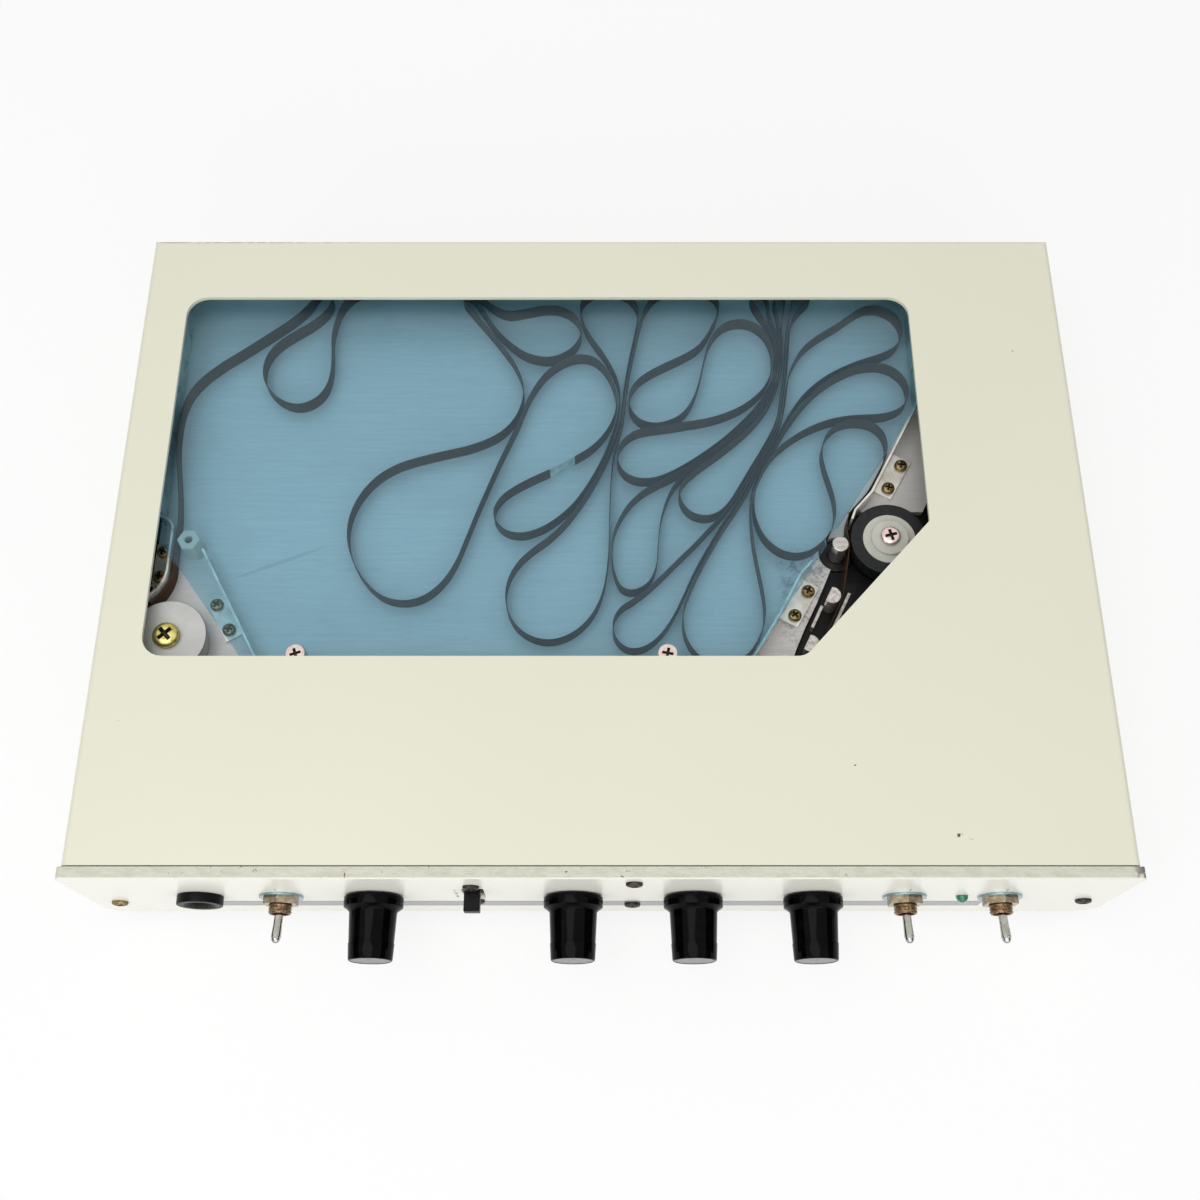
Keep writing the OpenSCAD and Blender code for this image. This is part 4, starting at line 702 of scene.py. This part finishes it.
brushed = floor_sheet.done(
    floor_sheet.shader(
        Base_Color=floor_sheet.blend(brush.rise(0.35, 0.65) * 0.2, sheen, srgb(178, 175, 173)),
        Metallic=0.35,
        Roughness=brush * 0.15 + 0.42,
        Normal=floor_sheet.bump(brush, 0.000006, 0.5),
    )
)
tin_plate = clouded("tin_plate", srgb(198, 195, 184), srgb(238, 236, 228), 0.006, 0.55, 0.22)
finish_nodes(brushed, "chamber_floor")
finish_nodes(tin_plate, "chamber_fence")
ease_nodes(
    tin_plate, 0.0001, "left_wall", "right_wall_upper", "right_wall_lower", "exit_guide"
)


# ---- Idler roller ----------------------------------------------------------------------------
# A turned aluminium roller, satin on its flange, which runs on a steel post under a large screw
# with yellow zinc plate.

yellow_zinc = clouded(
    "yellow_zinc", srgb(168, 150, 66), srgb(222, 212, 140), 0.0018, 0.85, 0.22, relief=0.00002
)
IDLER_HEAD = (0.0045, 0.0029)
ease_nodes(turned_aluminium, 0.0003, "idler_roller")
screws(
    "yellow_idler_screw",
    seats("idler_screw", IDLER_HEAD[1]),
    pan_head(*IDLER_HEAD, shank_len=0.007),
    yellow_zinc,
    6,
    "idler_screw",
)


# ---- Pinch roller and its arm ----------------------------------------------------------------
# A black rubber tyre on a white nylon hub, held by one wide screw on a black swinging arm. A coil
# spring draws the arm so that the tyre presses the tape on the capstan.

tyre_rubber = clouded(
    "tyre_rubber", srgb(22, 23, 24), srgb(34, 35, 36), 0.002, 0, 0.4, relief=0.00002, gloss=0.25
)
nylon_finish = Finish("nylon")
nylon = nylon_finish.done(
    nylon_finish.shader(
        Base_Color=nylon_finish.blend(
            nylon_finish.noise(0.004), srgb(184, 184, 172), srgb(204, 204, 193)
        ),
        Roughness=nylon_finish.noise(0.001) * 0.15 + 0.3,
        Coat_Weight=0.15,
    )
)
bright = Finish("bright_screw")
bright_cloud = bright.noise(0.0014, detail=3.0)
bright_screw = bright.done(
    bright.shader(
        Base_Color=bright.blend(
            bright_cloud.rise(0.35, 0.65), srgb(226, 196, 196), srgb(226, 218, 204)
        ),
        Metallic=0.8,
        Roughness=bright_cloud * 0.2 + 0.2,
    )
)
ease_nodes(deck_black, 0.0002, "pinch_arm")
ease_nodes(tyre_rubber, 0.0004, "pinch_tyre")
ease_nodes(nylon, 0.0003, "pinch_hub")
finish_nodes(post_steel, "pinch_spring")
PINCH_HEAD = (0.0035, 0.0018)
screws(
    "pinch_roller_screw",
    seats("pinch_screw", PINCH_HEAD[1]),
    pan_head(*PINCH_HEAD, shank_len=0.004),
    bright_screw,
    4,
    "pinch_screw",
    body="pinch_arm",
)


# ---- Tape ------------------------------------------------------------------------------------
# One closed loop of quarter inch tape, grey brown and glossy, which lies on its edge in loose
# folds. Its two ends are joined by a short length of clear splicing tape.

oxide = Finish("tape_oxide")
tape_gloss = oxide.noise(0.004, stretch=(1, 1, 3), detail=2.0)
tape_oxide = oxide.done(
    oxide.shader(
        Base_Color=oxide.blend(tape_gloss, srgb(68, 46, 29), srgb(90, 64, 43)),
        Roughness=tape_gloss * 0.15 + 0.3,
        Specular_IOR_Level=0.03,
    )
)
form = welded("echo_tape", whole=False)
tape_mesh = bpy.data.meshes.new("tape_loop")
form.to_mesh(tape_mesh)
form.free()
tape_mesh.materials.clear()
tape_mesh.materials.append(tape_oxide)
add_piece("tape_loop", smooth_by_angle(tape_mesh, 40), "echo_tape")

splice = clouded("clear_splice", srgb(170, 172, 166), srgb(206, 208, 202), 0.003, 0, 0.12)
finish_nodes(splice, "tape_splice")


# ---- Lid -------------------------------------------------------------------------------------
# A sheet of clear blue acrylic, cut to the chamber's outline with a notch for the capstan and
# held to nylon standoffs by five countersunk screws. Its cut edges carry painted light: a lighter,
# mostly opaque blue.

lid = Finish("blue_acrylic")
LID_TINT = (0.785, 0.92, 0.975, 1)
FACE_TURN = (0.5, 0.6)
normal_up = lid.node(
    "ShaderNodeSeparateXYZ", {}, {0: lid.node("ShaderNodeNewGeometry", output="True Normal")}, 2
)
top_face = normal_up.rise(*FACE_TURN)
# Painted light: the cut edges, whose normals lie flat, get a lighter blue and are mostly opaque.
painted_light_edge = abs(normal_up).fall(*FACE_TURN)
dust = lid.noise(0.0007, detail=2.0).rise(0.66, 0.72)
haze = lid.noise(0.05, detail=2.0)
lid_body = lid.shader(
    Base_Color=lid.blend(painted_light_edge, srgb(58, 100, 122), srgb(128, 200, 232)),
    Roughness=0.02,
    IOR=2.4,
)
blue_acrylic = lid.done(
    lid.mixed(
        top_face * (haze * 0.05 + 0.1 + dust * 0.03) + painted_light_edge * 0.7,
        lid.shader("ShaderNodeBsdfTransparent", Color=LID_TINT),
        lid_body,
    )
)
finish_nodes(blue_acrylic, "chamber_lid")
ease_nodes(nylon, 0.0002, "lid_standoffs")


def flat_head(radius, height, shank_len):
    """A countersunk screw with its flat top at z = 0."""
    shank = radius * 0.4
    profile = [(0, -shank_len), (shank, -shank_len), (shank, -height), (radius, -height * 0.1)]
    profile += [(radius, -height * 0.02), (radius * 0.97, 0), (0, 0)]
    return with_recess(lathe("flat_head", profile), 0, radius * 1.2, height * 0.7)


screws(
    "lid_screw_heads",
    seats("lid_screws", 0),
    flat_head(radius=0.0032, height=0.0016, shank_len=0.007),
    bright_screw,
    2,
    "lid_screws",
)


# ---- Front panel -----------------------------------------------------------------------------
# A shallow tray of steel, its rim folded back along the top and the ends. Warm white spray on the
# face, thick and lumpy on the rim, with a grey band printed across behind the controls.

panel_low, panel_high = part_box("front_panel")
STRIPE_Z = (0.0163, 0.0245)
STRIPE_X = (-0.138, 0.1278)
STRIPE_LINE = 0.0008
STRIPE_BLUR = 0.0001
RIM_BACK = (0.0003, 0.0007)

panel = Finish("panel_paint")
x = panel.along("X")
y = panel.along("Y")
z = panel.along("Z")
rim = y.rise(panel_low.y + RIM_BACK[0], panel_low.y + RIM_BACK[1])
across = x.rise(STRIPE_X[0] - STRIPE_BLUR, STRIPE_X[0])
across = across * x.fall(STRIPE_X[1], STRIPE_X[1] + STRIPE_BLUR)
stripe_half = (STRIPE_Z[1] - STRIPE_Z[0]) / 2
off_mid = abs(z - sum(STRIPE_Z) / 2)
stripe = (1 - rim) * across * off_mid.fall(stripe_half - STRIPE_BLUR, stripe_half)
line_start = stripe_half - STRIPE_LINE
stripe_line = stripe * off_mid.rise(line_start, line_start + STRIPE_BLUR)
lumps = panel.noise(0.0028, stretch=(1.6, 1, 1), detail=4.0, roughness=0.6)
rim_chips = rim * panel.noise(0.0026, detail=5.0, roughness=0.7).rise(0.64, 0.655)
rim_chips = rim_chips * panel.noise(0.05, detail=1.0).rise(0.46, 0.56)
corner = (panel_high.x - x).fall(0.001, 0.005) * (panel_high.z - z).fall(0.001, 0.004)
corner_chips = rim * corner * panel.noise(0.0016, detail=4.0).rise(0.44, 0.5)
chips = rim_chips.most(corner_chips)
white = panel.blend(rim, srgb(240, 239, 228), srgb(211, 211, 194))
white = panel.blend(rim * lumps.fall(0.4, 0.55) * 0.35, white, srgb(190, 188, 168))
white = panel.blend(stripe, white, srgb(150, 153, 156))
white = panel.blend(stripe_line, white, srgb(92, 95, 100))
chip_colour = panel.blend(corner, srgb(112, 84, 60), srgb(112, 114, 116))
panel_paint = panel.done(
    panel.shader(
        Base_Color=panel.blend(chips, white, chip_colour),
        Roughness=rim * 0.22 + 0.27 + chips * 0.2,
        Normal=panel.bump(rim * lumps - chips * 0.4 + panel.noise(0.0009) * 0.03, 0.0012, 0.5),
    )
)
ease_nodes(panel_paint, 0.0004, "front_panel", segments=3, angle=50)

PANEL_HEAD = (0.0027, 0.0013)
PANEL_SHANK = 0.006
blackened = clouded("blackened_screw", srgb(36, 34, 32), srgb(76, 70, 62), 0.001, 0.7, 0.35)
face_seats = [
    (Vector(((a.x + b.x) / 2, a.y + PANEL_HEAD[1], (a.z + b.z) / 2)), FRONT)
    for a, b in islands("panel_screws")
]
panel_screw = (*PANEL_HEAD, PANEL_SHANK)
screws("dark_panel_screws", face_seats[1:], pan_head(*panel_screw), blackened, 5, "panel_screws")
screws("brass_panel_screw", face_seats[:1], pan_head(*panel_screw), old_brass, 8, slot="brass")


# ---- Switch numbers --------------------------------------------------------------------------
# Plain numbers printed in dark grey: the slide switch's three positions beside its slot, and a
# one above each toggle.

PRINT_T = 0.00003
CAPITAL_SHARE = 0.7
print_grey = clouded("print_grey", srgb(58, 60, 66), srgb(76, 78, 84), 0.0006, 0, 0.4)


def joined(name, meshes):
    """Several meshes as one, each with its own finishes."""
    form = bmesh.new()
    finishes = []
    for mesh in meshes:
        first = len(form.faces)
        form.from_mesh(mesh)
        form.faces.ensure_lookup_table()
        for face in form.faces[first:]:
            face.material_index += len(finishes)
        finishes += mesh.materials[:]
    result = bpy.data.meshes.new(name)
    form.to_mesh(result)
    form.free()
    for material in finishes:
        result.materials.append(material)
    return result


def printed_number(text, middle_x, middle_z, height):
    """A number printed on the panel's face, as a mesh."""
    curve = bpy.data.curves.new("number", "FONT")
    curve.body = text
    curve.size = height / CAPITAL_SHARE
    curve.align_x = "CENTER"
    curve.align_y = "CENTER"
    curve.extrude = PRINT_T / 2
    curve.resolution_u = 6
    holder = bpy.data.objects.new("number", curve)
    bpy.context.scene.collection.objects.link(holder)
    bpy.context.view_layer.update()
    seen = holder.evaluated_get(bpy.context.evaluated_depsgraph_get())
    mesh = bpy.data.meshes.new_from_object(seen)
    bpy.data.objects.remove(holder)
    mesh.transform(
        Matrix.Translation((middle_x, panel_low.y - PRINT_T / 2, middle_z))
        @ Matrix.Rotation(math.pi / 2, 4, "X")
    )
    mesh.materials.clear()
    mesh.materials.append(print_grey)
    return mesh


slide_low, slide_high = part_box("mode_lever")
nut_boxes = islands("toggle_nuts")
SLOT_DROP = 0.0048
BESIDE_SLOT = 0.0032
BELOW_SLIDE_TOP = 0.002
ABOVE_NUT = 0.0026
SLOT_NUMBER_H = 0.0022
NUT_NUMBER_H = 0.0024
numbers = []
for i in range(3):
    number_z = slide_high.z - BELOW_SLIDE_TOP - i * SLOT_DROP
    numbers.append(
        printed_number(str(i + 1), slide_low.x - BESIDE_SLOT, number_z, SLOT_NUMBER_H)
    )
for a, b in nut_boxes:
    numbers.append(printed_number("1", (a.x + b.x) / 2, b.z + ABOVE_NUT, NUT_NUMBER_H))
add_piece("switch_numbers", joined("switch_numbers", numbers), slot="panel_paint")


# ---- Toggle switches -------------------------------------------------------------------------
# Three toggles: a threaded bushing through the panel, a bright washer, a hexagonal nut of old
# nickel plated brass, and a chromed bat lever that swings in the bushing. The steel cans of the
# potentiometers stand beside them behind the panel.

pot_steel = clouded("pot_steel", srgb(168, 166, 158), srgb(204, 202, 194), 0.004, 0.85, 0.28)
bushing = Finish("worn_bushing")
thread_soil = bushing.noise(0.0008, detail=3.0)
worn_bushing = bushing.done(
    bushing.shader(
        Base_Color=bushing.blend(
            thread_soil.rise(0.35, 0.65), srgb(98, 74, 50), srgb(158, 132, 104)
        ),
        Metallic=0.85,
        Roughness=thread_soil * 0.3 + 0.2,
    )
)
WASHER_FACE = (0.00085, 0.00078)
nut = Finish("nut_and_washer")
washer_side = nut.along("Y").rise(panel_low.y - WASHER_FACE[0], panel_low.y - WASHER_FACE[1])
nut_soil = nut.noise(0.002, detail=5.0)
nut_colour = nut.blend(nut_soil.rise(0.35, 0.7), srgb(150, 132, 108), srgb(190, 178, 158))
nut_and_washer = nut.done(
    nut.shader(
        Base_Color=nut.blend(washer_side, nut_colour, srgb(150, 172, 176)),
        Metallic=0.9,
        Roughness=nut_soil * 0.2 + 0.14,
    )
)
chrome = clouded("chrome", srgb(168, 167, 164), srgb(196, 195, 192), 0.003, 1, 0.08, 0.08)
finish_nodes(pot_steel, "potentiometers")
ease_nodes(worn_bushing, 0.0001, "toggle_switches")
ease_nodes(nut_and_washer, 0.00025, "toggle_nuts")
for i in range(1, 4):
    finish_nodes(chrome, f"toggle_lever_{i}")


# ---- Slide switch, input jack and lamp -------------------------------------------------------
# A black plastic slide switch in its slot, a quarter inch jack with a black plastic collar, and a
# green lamp with a domed lens.

black_plastic = clouded(
    "black_plastic", srgb(6, 6, 7), srgb(13, 13, 14), 0.003, 0, 0.28, relief=0.00001, gloss=0.12
)
lamp = Finish("green_lens")
lamp_green = lamp.done(
    lamp.shader(
        Base_Color=lamp.blend(lamp.noise(0.0015), srgb(8, 92, 60), srgb(26, 128, 86)),
        Roughness=lamp.noise(0.001) * 0.05 + 0.08,
        Coat_Weight=0.6,
    )
)
ease_nodes(black_plastic, 0.0003, "mode_switch", "mode_lever", "input_jack")
finish_nodes(lamp_green, "power_led")


# ---- Knobs -----------------------------------------------------------------------------------
# Four knobs of glossy black moulding: a skirt, a sloping shoulder and a slim grip with a faint
# step, closed by a satin grey cap that has one red dot. Each is pressed on its pot's shaft.

knob_gloss = clouded("knob_gloss", srgb(2, 2, 3), srgb(6, 6, 7), 0.003, 0, 0.08, 0.06, gloss=0.06)
cap_grey = clouded("cap_grey", srgb(120, 121, 124), srgb(146, 147, 149), 0.002, 0.55, 0.3)
dot_red = clouded("dot_red", srgb(206, 40, 48), srgb(228, 66, 70), 0.0004, 0, 0.3)

KNOB_GAP = 0.0004
SKIRT_LEN = 0.0037
SHOULDER_LEN = 0.0016
GRIP_R = 0.0078
CAP_R = 0.0072
KNOB_ROUND = 0.0005
SHAFT_R = 0.003
KNOB_STEPS = 72
SKIRT_EDGE = 0.0004
SKIRT_CORNER = (0.00012, 0.0002)
SHOULDER_TURNS = (0.26, 0.52, 0.79, 1.05, 1.31, 1.571)
STEP_OUT = 0.0154
STEP_LEN = 0.0001
STEP_IN = 0.00006
STEP_LIP = 0.00008
RING_CORNER = 0.00015
RING_EDGE = 0.0001
CAP_SUNK = 0.00015
CAP_BASE = 0.0004
DOT_R = 0.00055
DOT_OFF = 0.0021
DOT_STEPS = 20
DOT_BASE = 0.0002
DOT_RIM = 0.0001
DOT_CROWN = 0.00008


def knob_mesh(low, high):
    """A knob with its shaft, as the CAD node has it, its axis along Y."""
    skirt_r = (high.x - low.x) / 2
    out = panel_low.y - low.y
    back = panel_low.y - high.y
    skirt_end = KNOB_GAP + SKIRT_LEN
    grip_start = skirt_end + SHOULDER_LEN
    slope = (GRIP_R - CAP_R) / (out - grip_start)
    step_r = GRIP_R - slope * (STEP_OUT - grip_start)
    edge_r = skirt_r - SKIRT_EDGE
    profile = [(0, back), (SHAFT_R, back), (SHAFT_R, KNOB_GAP), (edge_r, KNOB_GAP)]
    profile += [(skirt_r, KNOB_GAP + SKIRT_EDGE), (skirt_r, skirt_end - KNOB_ROUND)]
    profile += [(skirt_r - SKIRT_CORNER[0], skirt_end - SKIRT_CORNER[1]), (edge_r, skirt_end)]
    for turn in SHOULDER_TURNS:
        shoulder_r = GRIP_R + (edge_r - GRIP_R) * (1 - math.sin(turn))
        profile.append((shoulder_r, skirt_end + SHOULDER_LEN * turn / SHOULDER_TURNS[-1]))
    profile += [(step_r - STEP_IN, STEP_OUT), (step_r + STEP_LIP, STEP_OUT + STEP_LEN)]
    profile += [(CAP_R, out - KNOB_ROUND), (CAP_R - RING_CORNER, out - RING_CORNER)]
    cap_r = CAP_R - KNOB_ROUND - RING_EDGE
    profile += [(CAP_R - KNOB_ROUND, out), (cap_r, out - CAP_SUNK)]
    body = lathe("knob", profile, KNOB_STEPS)
    body.materials.append(knob_gloss)
    cap_base = out - CAP_BASE
    cap_top = out - CAP_SUNK
    cap_profile = [(0, cap_base), (cap_r, cap_base), (cap_r, cap_top), (0, cap_top)]
    cap = lathe("cap", cap_profile, KNOB_STEPS)
    cap.materials.append(cap_grey)
    dot_profile = [(0, out - DOT_BASE), (DOT_R, out - DOT_BASE), (DOT_R, out - DOT_RIM)]
    dot = lathe("dot", dot_profile + [(0, out - DOT_CROWN)], DOT_STEPS)
    dot.transform(Matrix.Translation((0, DOT_OFF, 0)))
    dot.materials.append(dot_red)
    mesh = joined("knob", [body, cap, dot])
    middle = (low + high) / 2
    mesh.transform(
        Matrix.Translation((middle.x, panel_low.y, middle.z)) @ Matrix.Rotation(math.pi / 2, 4, "X")
    )
    return mesh


for i in range(1, 5):
    knob = f"knob_{i}"
    add_piece(f"glossy_{knob}", knob_mesh(*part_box(knob)), knob, body=knob)


# ---- Rear panel and its sockets --------------------------------------------------------------
# A cream painted plate across the back with two output jacks, a fuse holder and the gland for the
# mains cord, all black plastic.

WORN_BACK_X = (-0.15, -0.06)
WORN_BACK_Z = (0.055, 0.057)


def cream_paint(name, marks=()):
    """Half gloss cream spray with fine orange peel and a few dark chips at (x, y, radius)."""
    made = Finish(name)
    x = made.along("X")
    y = made.along("Y")
    chips = made.noise(0.0024, detail=1.0).rise(0.845, 0.855)
    ragged = made.noise(0.0011, detail=3.0).rise(0.48, 0.52)
    for mark_x, mark_y, radius in marks:
        reach = abs(x - mark_x).most(abs(y - mark_y) * 1.6)
        chips = chips.most(reach.fall(radius * 0.6, radius) * ragged)
    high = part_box("top_cover")[1]
    back_edge = (high.y - y).fall(0.0004, 0.0018) * made.along("Z").rise(*WORN_BACK_Z)
    worn = back_edge * x.fall(*WORN_BACK_X) * made.noise(0.0026, detail=5.0).rise(0.44, 0.5)
    cream = made.blend(made.noise(0.09, detail=2.0), srgb(227, 226, 205), srgb(231, 230, 210))
    cream = made.blend(worn, cream, srgb(122, 120, 116))
    return made.done(
        made.shader(
            Base_Color=made.blend(chips, cream, srgb(84, 72, 60)),
            Roughness=made.noise(0.02) * 0.08 + 0.3 + chips * 0.25,
            Normal=made.bump(made.noise(0.0012, detail=2.0) - chips * 1.5, 0.00004, 0.4),
        )
    )


cream = cream_paint("cream_paint")
ease_nodes(cream, 0.0002, "rear_panel")
ease_nodes(black_plastic, 0.0003, "output_jacks", "fuse_holder", "cord_inlet")


# ---- Cover -----------------------------------------------------------------------------------
# One sheet of steel folded down at both ends and the back, with the window punched in its top,
# sprayed cream and held by small dark screws at the sides and the back.

COVER_MARKS = ((0.113, -0.1012, 0.0011), (0.1164, -0.1022, 0.0007), (0.0816, -0.0784, 0.0004))
cover_cream = cream_paint("cover_cream", COVER_MARKS)
ease_nodes(cover_cream, 0.0003, "top_cover", angle=50)

cover_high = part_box("top_cover")[1]
FOOT_HEAD = (0.003, 0.0016)
SIDE_HEAD = (0.0028, 0.0011)
REAR_HEAD = (0.0028, 0.0013)
foot_seats = []
side_seats = []
rear_seats = []
for a, b in islands("case_screws"):
    middle = (a + b) / 2
    if a.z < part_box("rubber_feet")[1].z:
        foot_seats.append((Vector((middle.x, middle.y, a.z + FOOT_HEAD[1])), -UP))
    elif b.y > cover_high.y:
        rear_seats.append((Vector((middle.x, b.y - REAR_HEAD[1], middle.z)), -FRONT))
    else:
        side = Vector((math.copysign(1, middle.x), 0, 0))
        outer = b.x if side.x > 0 else a.x
        side_seats.append((Vector((outer - side.x * SIDE_HEAD[1], middle.y, middle.z)), side))
screws("side_screws", side_seats, pan_head(*SIDE_HEAD, 0.005), blackened, 11, "case_screws")
screws("rear_screws", rear_seats, pan_head(*REAR_HEAD, 0.004), blackened, 12, slot="dark_screw")
screws("foot_screws", foot_seats, pan_head(*FOOT_HEAD, 0.0065), blackened, 13, slot="dark_screw")
